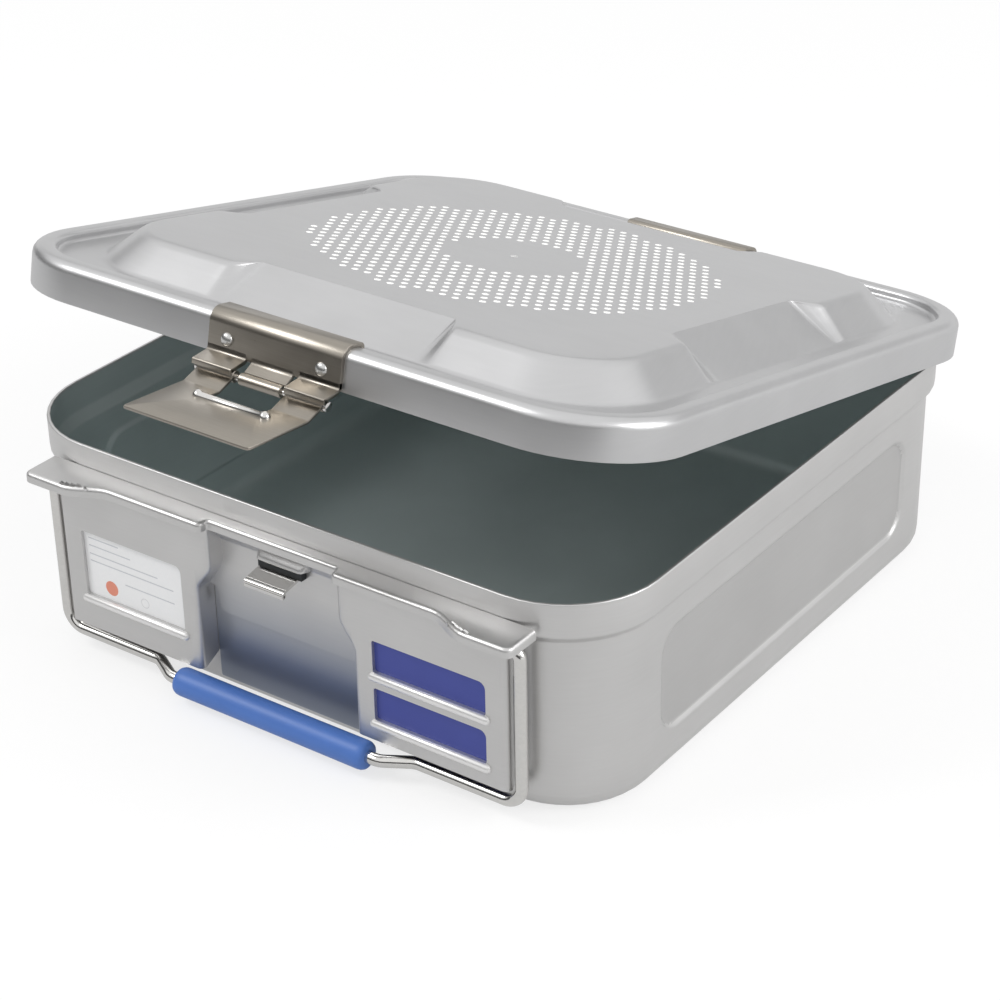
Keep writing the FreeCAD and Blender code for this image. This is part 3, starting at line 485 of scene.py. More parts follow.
class Finish:
    """A material with its node tree."""

    def __init__(self, name, **plain):
        self.material = bpy.data.materials.new(name)
        self.material.use_nodes = True
        self.tree = self.material.node_tree
        self.shader = self.tree.nodes["Principled BSDF"]
        for key, value in plain.items():
            self.shader.inputs[key.replace("_", " ")].default_value = value

    def node(self, kind, settings=None, sockets=None, out=0):
        node = self.tree.nodes.new(kind)
        for key, value in (settings or {}).items():
            if key == "stops":
                ramp_stops(node.color_ramp, value)
            else:
                setattr(node, key, value)
        for key, value in (sockets or {}).items():
            if isinstance(value, Signal):
                self.tree.links.new(value.socket, node.inputs[key])
            else:
                node.inputs[key].default_value = value
        return Signal(self, node.outputs[out])

    @classmethod
    def on(cls, tree):
        """The same helpers on the nodes of a world."""
        finish = cls.__new__(cls)
        finish.tree = tree
        return finish

    def seen(self):
        """One for rays from the camera, from gloss and through glass."""
        camera, gloss, glass = (self.node("ShaderNodeLightPath", out=name)
                                for name in ("Is Camera Ray", "Is Glossy Ray", "Is Transmission Ray"))
        return camera.math("MAXIMUM", camera, gloss.math("MAXIMUM", gloss, glass))

    def divide(self, output, lighting, seen):
        """One shader for rays that light surfaces, another for rays that are seen."""
        mix = self.node("ShaderNodeMixShader", sockets={"Fac": self.seen(), 1: lighting, 2: seen})
        self.tree.links.new(mix.socket, self.tree.nodes[output].inputs["Surface"])

    def place(self, stretch=(1, 1, 1)):
        """Object position in millimetres, stretched."""
        spot = self.node("ShaderNodeTexCoord", out="Object")
        scale = tuple(s / MM for s in stretch)
        return self.node("ShaderNodeMapping", sockets={"Vector": spot, "Scale": scale})

    def axes(self):
        """Object position in millimetres as three values."""
        parted = self.node("ShaderNodeSeparateXYZ", sockets={0: self.place()})
        return [Signal(self, socket) for socket in parted.socket.node.outputs]

    def noise(self, size, stretch=(1, 1, 1), detail=3.0, rough=0.5):
        """Noise whose blotches are about size millimetres across."""
        sockets = {"Vector": self.place(stretch), "Scale": 1 / size, "Detail": detail, "Roughness": rough}
        return self.node("ShaderNodeTexNoise", sockets=sockets, out="Fac")

    def blend(self, factor, one, two):
        settings = {"data_type": "RGBA"}
        return self.node("ShaderNodeMix", settings, {"Factor": factor, 6: one, 7: two}, out=2)

    def tint(self, factor, colour, low, high):
        """One colour between its darker and its lighter shade."""
        return self.blend(factor, shade(colour, low), shade(colour, high))

    def levels(self, value, *stops):
        return self.node("ShaderNodeValToRGB", {"stops": stops}, {"Fac": value})

    def band(self, value, middle, half):
        """One where value is within half of middle."""
        return (value > middle - half) * (value < middle + half)

    def distance(self, x, z, at_x, at_z):
        dx, dz = x - at_x, z - at_z
        return self.node("ShaderNodeMath", {"operation": "SQRT"}, {0: dx * dx + dz * dz})

    def feed(self, **signals):
        for key, value in signals.items():
            self.tree.links.new(value.socket, self.shader.inputs[key.replace("_", " ")])

    def bump(self, height, strength, depth):
        """Relief of a height between 0 and 1, depth in millimetres."""
        self.feed(Normal=self.node("ShaderNodeBump", sockets={
            "Height": height, "Strength": strength, "Distance": depth * MM}))


def ramp_stops(color_ramp, stops):
    while len(color_ramp.elements) < len(stops):
        color_ramp.elements.new(0.5)
    for element, (position, value) in zip(color_ramp.elements, stops):
        element.position = position
        element.color = (value, value, value, 1)


def shade(colour, factor):
    return tuple(min(c * factor, 1.0) for c in colour[:3]) + (1.0,)


finishes = {}


def finish_for(kind):
    if kind not in finishes:
        finishes[kind] = FINISH_MAKERS[kind](bpy.context.scene.container_colours)
    return finishes[kind]


def satin_metal(name, colour, metallic, low, high, grain=1.0, with_painted_shade=False):
    """Anodised sheet: fine etched grain, faint drawing lines and a few light rubs."""
    finish = Finish(name, Metallic=metallic)
    cloud = finish.noise(38, detail=2.0)
    lines = finish.noise(0.9, stretch=(0.06, 0.06, 1.0), detail=4.0)
    etch = finish.noise(0.35, detail=2.0, rough=0.6)
    rubs = finish.noise(2.2, stretch=(0.05, 0.05, 0.9), detail=5.0, rough=0.7)
    rubs = finish.levels(rubs, (0.60, 0.0), (0.74, 1.0))
    tone = finish.levels(cloud * 0.7 + lines * 0.3, (0.30, 0.0), (0.70, 1.0))
    base = finish.tint(tone, colour, 0.955, 1.03)
    base = finish.blend(rubs * 0.22, base, shade(colour, 1.10))
    # Painted shade and painted reflection of the grip, darkening the foot of the wall between the holders
    if with_painted_shade:
        base = finish.blend(painted_shade_under_plate(finish), base, PAINTED_SHADE_TONE)
    finish.feed(Base_Color=base, Roughness=low + (cloud * 0.6 + etch * 0.4) * (high - low) + rubs * 0.04)
    finish.bump(etch * 0.7 + lines * 0.3, 0.35 * grain, 0.02)
    return finish.material


def painted_shade_under_plate(finish):
    """Painted shade and painted reflection: grows towards the foot of the wall between the holders, where
    the wall would mirror the grip and the shaded ground.
    """
    x, y, z = finish.axes()
    low = finish.levels(z / 100, (0.24, 1.0), (0.60, 0.0))
    return finish.band(x, 0, HOLDER_IN - 0.2) * (1 - finish.band(y, 0, WALL - 0.5)) * low * 0.8


def steel(colours):
    """Brushed stainless sheet, brushed along X."""
    finish = Finish("brushed steel", Metallic=1.0)
    brush = finish.noise(0.6, stretch=(0.03, 1, 1), detail=5.0, rough=0.65)
    cloud = finish.noise(12, detail=3.0)
    finish.feed(Base_Color=finish.tint(brush * 0.6 + cloud * 0.4, colours.steel, 0.78, 1.2),
                Roughness=0.2 + brush * 0.14 + cloud * 0.08)
    finish.bump(brush, 0.3, 0.02)
    return finish.material


def polished(colours):
    """Polished stainless wire with slight ripples from bending."""
    finish = Finish("polished wire", Metallic=1.0)
    wave = finish.noise(6, detail=2.0)
    haze = finish.noise(1.5, detail=4.0)
    finish.feed(Base_Color=finish.tint(haze, colours.wire, 0.92, 1.05), Roughness=0.07 + haze * 0.1)
    finish.bump(wave, 0.2, 0.06)
    return finish.material


def silicone(colours):
    """Soft blue sleeve: matte skin, faint handling marks and a fine moulded grain."""
    finish = Finish("blue silicone", Coat_Weight=0.15, Coat_Roughness=0.35)
    skin = finish.noise(0.5, detail=2.0)
    worn = finish.noise(9, stretch=(0.4, 1, 1), detail=4.0)
    finish.feed(Base_Color=finish.tint(worn, colours.grip, 0.88, 1.14),
                Roughness=0.36 + worn * 0.12 + skin * 0.06)
    finish.bump(skin, 0.25, 0.03)
    return finish.material


def blue_plate(colours):
    """Blue anodised name plate."""
    finish = Finish("blue plate", Metallic=0.25, Coat_Weight=0.2, Coat_Roughness=0.2)
    brush = finish.noise(0.5, stretch=(0.04, 1, 1), detail=3.0)
    cloud = finish.noise(14, detail=2.0)
    finish.feed(Base_Color=finish.tint(cloud * 0.6 + brush * 0.4, colours.plate, 0.9, 1.12),
                Roughness=0.34 + brush * 0.12)
    return finish.material


def plain(name, colour, rough, size, depth):
    """Simple matte finish with a grain."""
    finish = Finish(name)
    grain = finish.noise(size, detail=3.0)
    cloud = finish.noise(size * 18, detail=2.0)
    finish.feed(Base_Color=finish.tint(grain * 0.5 + cloud * 0.5, colour, 0.92, 1.06),
                Roughness=rough + grain * 0.1)
    finish.bump(grain, 0.5, depth)
    return finish.material


def glowing_filter_fabric(colours):
    """White fleece with a painted glow from its emission, standing for light let through from below."""
    # Painted light: the fleece glows so the vents show white
    finish = Finish("filter fabric with painted glow", Emission_Strength=0.55)
    fleece = finish.noise(0.4, detail=3.0)
    cloud = finish.noise(7, detail=2.0)
    tone = finish.tint(fleece * 0.5 + cloud * 0.5, colours.filter, 0.94, 1.05)
    finish.feed(Base_Color=tone, Emission_Color=tone, Roughness=0.8 + fleece * 0.1)
    finish.bump(fleece, 0.5, 0.08)
    return finish.material


def glowing_vent_edges(colours):
    """Cut edges of the vents in the filter's white, glowing as painted light for the light coming up through
    them.
    """
    # Painted light: white colour and a glow on the cut edges
    finish = Finish("vent edges with painted glow", Metallic=0.3, Emission_Strength=0.2)
    burr = finish.noise(0.5, detail=2.0)
    tone = finish.tint(burr, colours.filter, 0.90, 1.08)
    finish.feed(Base_Color=tone, Emission_Color=tone, Roughness=0.4 + burr * 0.2)
    return finish.material


def card(colours):
    """White card with thin grey rules, a faint ring and an orange indicator dot."""
    finish = Finish("printed card")
    x, _, z = finish.axes()
    ink = None
    for rule_z, x0, x1 in ((54.6, -96.0, -80.0), (51.2, -96.0, -74.0), (47.4, -96.0, -60.0),
                           (44.2, -96.0, -52.0), (38.4, -78.0, -52.0)):
        row = finish.band(z, rule_z, 0.28) * finish.band(x, (x0 + x1) / 2, (x1 - x0) / 2)
        ink = row if ink is None else ink + row
    paper = finish.noise(0.8, detail=3.0)
    base = finish.blend(paper, (0.86, 0.87, 0.88, 1), (0.93, 0.93, 0.93, 1))
    base = finish.blend(ink * 0.55, base, (0.35, 0.37, 0.42, 1))
    far = finish.distance(x, z, -85.6, 34.2)
    base = finish.blend((far < 3.3) * 0.9, base, (*colours.dot, 1))
    ring_far = finish.distance(x, z, -68.0, 33.2)
    base = finish.blend(((ring_far < 2.2) - (ring_far < 1.8)) * 0.5, base, (0.5, 0.5, 0.52, 1))
    finish.feed(Base_Color=base, Roughness=0.5 + paper * 0.1)
    return finish.material


FINISH_MAKERS = {
    # The base and carriers carry painted shade at the foot of the wall between the holders
    "aluminium": lambda c: satin_metal("satin aluminium", c.aluminium, 0.82, 0.30, 0.42, with_painted_shade=True),
    "lid": lambda c: satin_metal("lid aluminium", c.lid, 0.82, 0.28, 0.38),
    # Inside of the pan: a darker, slate, less shiny copy of the aluminium, painted shade
    "inside": lambda c: satin_metal("inside of the pan with painted shade", c.inside, 0.35, 0.42, 0.55),
    # Sills: a lighter, smoother copy of the aluminium, painted highlight
    "burnished": lambda c: satin_metal("sills with painted highlight", shade(c.aluminium, 1.35), 0.5, 0.24, 0.34, 0.5),
    # Side panels: a darker copy of the aluminium, painted shade in the pressed recess
    "panel": lambda c: satin_metal("pressed panel with painted shade", shade(c.aluminium, 0.84), 0.72, 0.42, 0.55, 1.3),
    "steel": steel,
    "polished": polished,
    "silicone": silicone,
    "plate": blue_plate,
    "card": card,
    "rivet": lambda c: satin_metal("rivet heads", c.rivet, 0.9, 0.2, 0.3, 0.5),
    "gasket": lambda c: plain("seal rubber", c.gasket, 0.55, 0.6, 0.03),
    "filter": glowing_filter_fabric,
    "vents": glowing_vent_edges,
    "knob": lambda c: plain("moulded knob", c.knob, 0.4, 0.5, 0.03),
    # Near black, painted shade for the box under the hood
    "slot": lambda c: plain("painted shade in the hood", shade(c.knob, 0.25), 0.9, 0.5, 0.03),
}


class ContainerColours(bpy.types.PropertyGroup):
    """Colours of the container's finishes."""


class ContainerSizes(bpy.types.PropertyGroup):
    """Sizes that change without touching how the pieces fit."""

    vent_pitch: bpy.props.FloatProperty(
        name="Vent pitch", description="Distance between neighbouring vent holes", default=6.0 * MM,
        min=4 * MM, max=12 * MM, unit="LENGTH")
    vent_radius: bpy.props.FloatProperty(
        name="Vent radius", description="Radius of each vent hole", default=1.45 * MM,
        min=0.5 * MM, max=2 * MM, unit="LENGTH")


def colour_property(label, words, value):
    return bpy.props.FloatVectorProperty(name=label, description=words, default=value, size=3,
                                         min=0.0, max=1.0, subtype="COLOR")


COLOURS = {
    "aluminium": ("Aluminium", "Satin anodised base and carriers", (0.635, 0.63, 0.625)),
    "lid": ("Lid", "Satin anodised lid", (0.58, 0.58, 0.585)),
    # The inside's darker slate tint is painted shade
    "inside": ("Inside", "Inside of the base pan", (0.51, 0.585, 0.585)),
    "steel": ("Steel", "Brushed latch parts", (0.35, 0.322, 0.282)),
    "wire": ("Wire", "Polished handles, pins and keepers", (0.72, 0.71, 0.69)),
    "grip": ("Grip", "Soft sleeve on each handle", (0.075, 0.19, 0.56)),
    "plate": ("Name plate", "Blue anodised name plates", (0.045, 0.065, 0.33)),
    "dot": ("Dot", "Indicator dot on the card", (0.78, 0.22, 0.12)),
    "rivet": ("Rivets", "Rivet heads", (0.62, 0.62, 0.61)),
    "gasket": ("Gasket", "Seal under the lid's bead", (0.25, 0.26, 0.27)),
    "filter": ("Filter", "Filter fabric under the vents", (0.86, 0.86, 0.85)),
    "knob": ("Knob", "Moulded knob of the filter retainer", (0.14, 0.15, 0.16)),
}
ContainerColours.__annotations__ = {key: colour_property(*words) for key, words in COLOURS.items()}


# Base pan

def spaced(low, high, step):
    """Even marks from low to high, about a step apart."""
    count = max(int(round((high - low) / step)), 1)
    return [low + (high - low) * i / count for i in range(count + 1)]


def panel_press(along, z):
    """How far the side wall is pressed in at a point."""
    middle = sum(PANEL_Z) / 2
    dx = abs(along) - (PANEL_HALF - PANEL_R)
    dz = abs(z - middle) - ((PANEL_Z[1] - PANEL_Z[0]) / 2 - PANEL_R)
    far = math.hypot(max(dx, 0), max(dz, 0)) + min(max(dx, dz), 0) - PANEL_R
    return PANEL_DEPTH * ramp(0.0, 2.0, -far)


def base_pan():
    """Drawn pan: flat floor, upright walls with pressed panels, stepped rim band and round lip."""
    end = spaced(80, 96, 0.8)
    marks_y = [-v for v in end[::-1]] + [-60, -40, -20, 0, 20, 40, 60] + end
    marks_x = [-60, -20, 20, 60]
    heights = spaced(16.6, 31, 0.8) + [36, 40.75, 45.5] + spaced(50.5, 64.9, 0.8)
    within = RIM_STEP + BASE_SHEET
    outer = soft_path([(40, 0), (RIM_STEP, 0), (RIM_STEP, 14.6)], [FLOOR_R], 7)
    outer += [Vector((RIM_STEP, z)) for z in heights]
    outer += soft_path([(RIM_STEP, 70), (RIM_STEP, STEP_LOW), (0, STEP_TOP), (0, BASE_H),
                        (BASE_SHEET, BASE_H), (BASE_SHEET, STEP_TOP + 1), (within, STEP_LOW),
                        (within, 68)], [2.5, 2.5, 0.55, 0.55, 2, 2], 4)
    inner = [Vector((within, z)) for z in heights[::-1]]
    inner += soft_path([(within, 13.5), (within, BASE_SHEET), (40, BASE_SHEET)], [FLOOR_R - BASE_SHEET], 7)
    profile = outer + inner
    verts, count = [], 0
    for inset, z in profile:
        points = ring(HALF - inset, max(RIM_R - inset, 2), marks_x, marks_y)
        count = len(points)
        for x, y, side, along in points:
            if side % 2 and along is not None and 12 < z < 69:
                x -= math.copysign(panel_press(along, z), x)
            verts.append((x, y, z))
    faces = capped(len(profile), count)
    # Faces from the lip down inside take the darker inside finish, painted shade
    inner_from = (len(outer) - LIP_ROWS) * count
    part = [0] * inner_from + [1] * (len(faces) - inner_from)
    under_floor = -2
    part[under_floor] = 0
    for i, face in enumerate(faces[:inner_from]):
        x, y, z = centre(verts, face)
        # Faces deep in the pressed side panels take the darker panel finish, painted shade
        if abs(x) > WALL - 3 and panel_press(y, z) > 0.85 * PANEL_DEPTH:
            part[i] = 2
    make("pressed_pan", verts, faces, "aluminium inside panel", "base", part=part,
         replaces=("base_pan",), slot="satin_aluminium", sharp=50)


# Carrier

def flare(x, z):
    """The holder's inner wall swings towards the middle under the flange."""
    near = 1 - ramp(HOLDER_IN, HOLDER_IN + 4.5, x)
    return x - 7.1 * ramp(49, 62, z) * near


def holder(windows, side):
    """Raised card holder: face with windows, inner wall, outer return and pivot cheek."""
    top = FLANGE_TOP - 1.0
    in_fold, out_fold = 2.4, 2.6
    path = soft_path([(HOLDER_IN, -WALL - 0.2), (HOLDER_IN, -HOLDER_FACE), (HOLDER_END, -HOLDER_FACE),
                      (HOLDER_END, -WALL - 0.2)], [in_fold, out_fold], 6)
    total = path_lengths(path)
    face_start = total[7]
    face_u = face_start - (HOLDER_IN + in_fold)
    back = total[-1]
    turn_u = total[-2] + 1.6
    outline = [(0, HOLDER_LOW + 4), (0, top), (back, top), (back, 67), (turn_u + 2, 66.2), (turn_u, 62),
               (turn_u, HOLDER_LOW + 3), (turn_u - 1.2, HOLDER_LOW), (total[1], HOLDER_LOW)]
    holes = []
    for x0, x1, z0, z1 in windows:
        if side < 0:
            x0, x1 = -x1, -x0
        radii = (WINDOW_R, WINDOW_R, TOP_WINDOW_R, WINDOW_R)
        if side < 0:
            radii = (WINDOW_R, WINDOW_R, WINDOW_R, TOP_WINDOW_R)
        holes.append([(x + face_u, z) for x, z in rounded_loop(x0, x1, z0, z1, radii)])
    folds = total[1:-1] + [face_start + 2.5, face_start + 6, face_start + 14]
    blank = cut_sheet(outline[::-1], holes, folds, spaced(47, 63.5, 1.5))

    def lay(x, y, z):
        return flare(x, z), y, z

    shape = folded(blank, path, lay)
    return shape if side > 0 else mirrored(shape)


def sill(bounds):
    """Rolled lip under a window, closing down onto the face at both ends."""
    x0, x1, low, _ = bounds
    line = [(SILL_OUT * c, SILL_HALF * s) for c, s in arc(-90, 91, 20)]
    ends = [(x0 - past, share) for past, share in SILL_CLOSE]
    ends += [(x1 + past, share) for past, share in SILL_CLOSE[::-1]]
    verts = [(x, 0.1 - HOLDER_FACE - out * share, low - SILL_HALF + rise * share)
             for x, share in ends for out, rise in line]
    return verts, turned_over(quads(len(ends), len(line), closed=False))


def flange():
    """Rolled flange: flat top and an edge turned down along its two S curves."""
    lobe, waist = (-97.0, LOBE_Y), (-78.0, WAIST_Y)
    plan = both_halves([(-FLANGE_HALF, BACK_EDGE), (-FLANGE_HALF, LOBE_Y), lobe, *s_curve(lobe, waist),
                        waist, (-NOTCH_HALF, WAIST_Y), (-NOTCH_HALF, NOTCH_Y)])
    last, middle = len(plan) - 2, len(plan) // 2
    round_corners = {1: 3.4, last: 3.4, middle - 2: 2.6, middle + 1: 2.6, middle - 1: 1.2, middle: 1.2}
    radii = [round_corners.get(i, 0.6) for i in range(1, len(plan) - 1)]
    path = soft_path(plan, radii, 5)
    roll = [(ROLL_R - ROLL_R * c, ROLL_R * s - ROLL_R) for c, s in arc(18, 91, 18)]
    section = [(0, -HEM), (0, -ROLL_R), *roll, (ROLL_R + 0.5, 0)]
    verts = []
    for i, point in enumerate(path):
        ahead = (path[min(i + 1, len(path) - 1)] - path[max(i - 1, 0)]).normalized()
        inward = Vector((-ahead[1], ahead[0]))
        for inset, z in section:
            spot = point + inward * inset
            verts.append((spot[0], spot[1], FLANGE_TOP + z))
    rolled = verts, turned_over(quads(len(path), len(section), closed=False))
    rim = [Vector(v[:2]) for v in verts[len(section) - 1::len(section)]]
    flat, triangles = cut_sheet(rim, [], [-100, -60, -20, 20, 60, 100])
    return joined(rolled, ([(x, y, FLANGE_TOP) for x, y in flat], triangles))


def s_curve(start, end, steps=8):
    """Points of a soft step between two parallel edges, ends left out."""
    (x0, y0), (x1, y1) = start, end
    points = []
    for i in range(1, steps):
        t = i / steps
        points.append((x0 + (x1 - x0) * t, y0 + (y1 - y0) * ramp(0, 1, t)))
    return points


def centre_plate():
    """Plate between the holders, its foot notched, leaning out to run into the flange's edge."""
    line = soft_path([(PLATE_Y, 38), (PLATE_Y, 71.5), (-147.0, 78.6), (-147.6, FLANGE_TOP - 1.0)],
                     [3.0, 3.0], 5)
    total = path_lengths(line)
    side = [(0, 31.5), (0.5, 33.2), (2.0, 34.4), (8.5, 34.8), (10.5, 36.0), (11.5, PLATE_HALF),
            (total[-1], PLATE_HALF)]
    outline = side + [(u, -x) for u, x in side[::-1]]
    return folded(cut_sheet(outline[::-1], [], total[1:-1] + [20.0]), line, swap=True)


def hood():
    """Pressed hood over the keeper, open below."""
    rows = [(76.2, 0.0), (75.7, 0.3), (74.7, 1.1), (73.6, 2.3), (72.5, 3.3), (71.2, 3.9), (70.9, 3.8),
            (70.9, 3.3)]
    ends = both_halves([(-HOOD_HALF, 0.0), (-11.6, 0.45), (-10.8, 0.85), (-9.4, 1.0)])
    verts = [(x, PLATE_Y - out * share, z) for x, share in ends for z, out in rows]
    return verts, quads(len(ends), len(rows), closed=False)


def carrier(end):
    """The whole stamping at one end of the container."""
    set_in = {"body": "base", "place": base_place(end), "slot": "satin_aluminium"}
    left, right = holder([CARD_WINDOW], -1), holder([UPPER_WINDOW, LOWER_WINDOW], 1)
    make(end + "_carrier", *joined(left, right, flange(), centre_plate()), "aluminium",
         thickness=CARRIER_SHEET, replaces=(end + "_carrier_plate",), **set_in)
    make(end + "_hood", *hood(), "aluminium", thickness=HOOD_SHEET, sharp=60, **set_in)
    # Dark box under the hood as painted shade
    make(end + "_hood_slot", *block(*HOOD_SHADE_BOX), "slot", **set_in)
    lips = joined(*[sill(window) for window in (CARD_WINDOW, UPPER_WINDOW, LOWER_WINDOW)])
    # The sills take a lighter copy of the aluminium as painted highlight
    make(end + "_sills", *lips, "burnished", sharp=60, **set_in)


def keeper(end):
    """Chromed strip: sloped tongue, rolled front bar and turned-down lip."""
    line = soft_path([(-WALL - 0.6, 73.2), (-WALL - 0.6, 69.3), (-151.8, 67.2), (KEEPER_Y, 66.5),
                      (KEEPER_Y, 63.9)], [0.8, 3.0, 1.0], 5)
    xs = [-KEEPER_HALF, 0.5 - KEEPER_HALF, KEEPER_HALF - 0.5, KEEPER_HALF]
    tongue = [(x, y, z) for x in xs for y, z in line], quads(len(xs), len(line), closed=False)
    bar = lathe_x(both_halves([(-KEEPER_HALF, 0.6), (0.2 - KEEPER_HALF, KEEPER_BAR_R)]), 16)
    shape = joined(tongue, shifted(bar, 0, *KEEPER_BAR))
    make(end + "_keeper_strip", *shape, "polished", "base", place=base_place(end),
         thickness=KEEPER_SHEET, replaces=(end + "_keeper",), slot="polished_wire")


# Handles

def handle(end):
    """Wire bail with turned-in ends, and the soft sleeve on its grip."""
    place, body = base_place(end), end + "_handle"
    half = [(106.6, BAIL_Y, PIVOT_Z), (BAIL_HALF, BAIL_Y, PIVOT_Z), (BAIL_HALF, BAIL_Y, GRIP_Z),
            (64, BAIL_Y, GRIP_Z), (52, GRIP_Y, GRIP_Z)]
    path = soft_path(both_halves(half), [3.0] + [8.0] * 6 + [3.0], 9)
    make(end + "_bail", *tube(path, BAIL_R, 24), "polished", body, place=place,
         replaces=(end + "_handle_wire",), slot="polished_wire")
    profile = both_halves([(-GRIP_HALF, 2.6), (-GRIP_HALF, 4.6), (-46.6, 5.3), (-45.6, 5.75), (-44.0, 5.9),
                           (-43.2, 5.88), (-20, 5.82)], (0, 5.8))
    sleeve = shifted(lathe_x(profile, 40), 0, GRIP_Y, GRIP_Z)
    make(end + "_sleeve", *sleeve, "silicone", body, place=place,
         replaces=(end + "_handle_grip",), slot="blue_silicone", sharp=60)


# Lid

def lid_profile(top_inset, shoulder):
    """(inset, z) line from the skirt's edge to the flat top; the same number of points each time."""
    return soft_path([(0, 0), (0, RIM_TOP), (BEAD_IN, RIM_TOP), (BEAD_IN, GROOVE_Z), (GUTTER_IN, GROOVE_Z),
                      (top_inset, PLATEAU_Z), (top_inset + 9, PLATEAU_Z)], [4.0, 1.8, 1.4, 4.0, shoulder], 7)


def lid_ring_radius(inset):
    """Corner radius at an inset: it grows over the gutter and shrinks again up the slope."""
    if inset <= BEAD_IN:
        return LID_R - inset
    if inset <= GUTTER_IN:
        return 34.2 + (inset - BEAD_IN) * 5.8 / (GUTTER_IN - BEAD_IN)
    if inset <= SLOPE_IN:
        return 40 - (inset - GUTTER_IN) * 10 / (SLOPE_IN - GUTTER_IN)
    return max(30 - (inset - SLOPE_IN), 18)


def vent_centres(pitch, radius):
    """Centres in staggered rows, from the plain middle to the round edge of the field."""
    step = pitch * math.sin(math.pi / 3)
    rows = int(FIELD[1] / step) + 1
    centres = []
    for row in range(-rows, rows + 1):
        shift = pitch / 2 if row % 2 else 0.0
        for column in range(-rows, rows + 1):
            x, y = column * pitch + shift, row * step
            if FIELD[0] + radius < math.hypot(x, y) < FIELD[1] - radius:
                centres.append((x, y))
    return centres


def pressed_rows():
    """Rows of points from the skirt's edge to the flat top, dented in the middle of each side."""
    marks = [0, 14, 28, 38, 43, 45, 46, 47, 48, 49, 50, 51, 52.5, 54, 57, 62, 70]
    marks = [-m for m in marks[:0:-1]] + marks
    lobe, dent = lid_profile(SLOPE_IN, 7.0), lid_profile(DENT_IN, 1.2)
    rows = []
    for (inset, z), (dent_inset, dent_z) in zip(lobe, dent):
        edge = 50.5 - 3.5 * ramp(GROOVE_Z, PLATEAU_Z, z)
        row = []
        for x, y, side, along in ring(LID_HALF - inset, lid_ring_radius(inset), marks, marks, 14):
            w = 0.0 if along is None else 1 - ramp(edge - 2.5, edge + 6.5, abs(along))
            shift = (dent_inset - inset) * w
            turn = side * math.pi / 2
            row.append((x - math.sin(turn) * shift, y + math.cos(turn) * shift, z + (dent_z - z) * w))
        rows.append(row)
    return rows


def vented_field(loop):
    """Flat sheet inside a loop, cut by its vents: points, their places in the loop and triangles."""
    sizes = bpy.context.scene.container_sizes
    pitch, radius = sizes.vent_pitch / MM, sizes.vent_radius / MM
    count = len(loop)
    flat = list(loop)
    edges = [(i, (i + 1) % count) for i in range(count)]
    sides = 10
    holes = [(x, y, radius) for x, y in vent_centres(pitch, radius)] + [(0.0, 0.0, MIDDLE_VENT_R)]
    for x, y, r in holes:
        base = len(flat)
        flat += [Vector((x + r * c, y + r * s)) for c, s in circle(sides)]
        edges += [(base + i, base + (i + 1) % sides) for i in range(sides)]
    spots, _, triangles, origins, _, _ = delaunay_2d_cdt(flat, edges, [], 0, 1e-5)
    owners = [origin[0] if origin else -1 for origin in origins]
    polygon = [tuple(p) for p in loop]
    kept = []
    for triangle in triangles:
        sources = [owners[i] for i in triangle]
        if all(0 <= s < count for s in sources):
            if not inside(polygon, *centre(spots, triangle)):
                continue
        elif min(sources) >= count and len({(s - count) // sides for s in sources}) == 1:
            continue
        kept.append(triangle)
    return spots, owners, kept


def lid_pan():
    """Stamped lid: one pressed surface with its vents, given the sheet's thickness."""
    rows = pressed_rows()
    count = len(rows[0])
    verts = [point for row in rows for point in row]
    faces = quads(len(rows), count)
    first = len(verts) - count
    spots, owners, triangles = vented_field([Vector(point[:2]) for point in rows[-1]])
    top = []
    for spot, owner in zip(spots, owners):
        if 0 <= owner < count:
            top.append(first + owner)
        else:
            top.append(len(verts))
            verts.append((spot[0], spot[1], PLATEAU_Z))
    faces += [tuple(top[i] for i in triangle) for triangle in triangles]
    # The cut edges of the sheet take the vent edges' white painted glow
    make("stamped_lid", verts, faces, "lid vents", "lid", place=LID_SEAT,
         thickness=LID_SHEET, replaces=("lid_pan",), slot="satin_aluminium", sharp=42, cut_edge=1)


# Latches

def eye_profile(x0, x1):
    """Rolled eye or barrel from x0 to x1, its rims rounded off."""
    return [(x0, 1.3), (x0, 2.2), (x0 + 0.2, EYE_R), (x1 - 0.2, EYE_R), (x1, 2.2), (x1, 1.3)]


def latch_bracket(end):
    """Steel bracket over the bead with two folded stop tabs and the rolled barrel."""
    set_on = {"body": "lid", "place": lid_place(end)}
    sheet = {"thickness": BRACKET_SHEET, "bevel": 0.25, "slot": "stainless_sheet"}
    face, back, top = -LID_HALF - BRACKET_SHEET, BEAD_IN - LID_HALF + BRACKET_SHEET, RIM_TOP + BRACKET_SHEET
    line = soft_path([(back, GROOVE_Z + 0.7), (back, top), (face, top), (face, 0.9)], [2.2, 5.4], 7)
    body = strip(line, -BRACKET_HALF, BRACKET_HALF)
    tab = strip(soft_path([(face, 3.4), (face, 1.0), (TAB_Y, -1.2), (TAB_Y, -3.4)], [1.2, 0.8], 5), *TAB)
    tongue_line = soft_path([(face, 2.6), (face, 0.8), (-153.4, -2.2)], [2.0], 5)
    tongue = strip(tongue_line, -BARREL_HALF, BARREL_HALF)
    make(end + "_bracket", *joined(body, tab, mirrored(tab), tongue), "steel",
         replaces=(end + "_latch_bracket",), **sheet, **set_on)
    barrel = shifted(lathe_x(eye_profile(-BARREL_HALF, BARREL_HALF), 28), 0, *PIN)
    make(end + "_barrel", *barrel, "steel", slot="stainless_sheet", **set_on)
    heads = joined(*[dome(2.7, 1.5, x, face, RIVET_Z) for x in (-RIVET_X, RIVET_X)])
    make(end + "_rivet_domes", *heads, "rivet", slot="rivet_metal", sharp=60, **set_on)


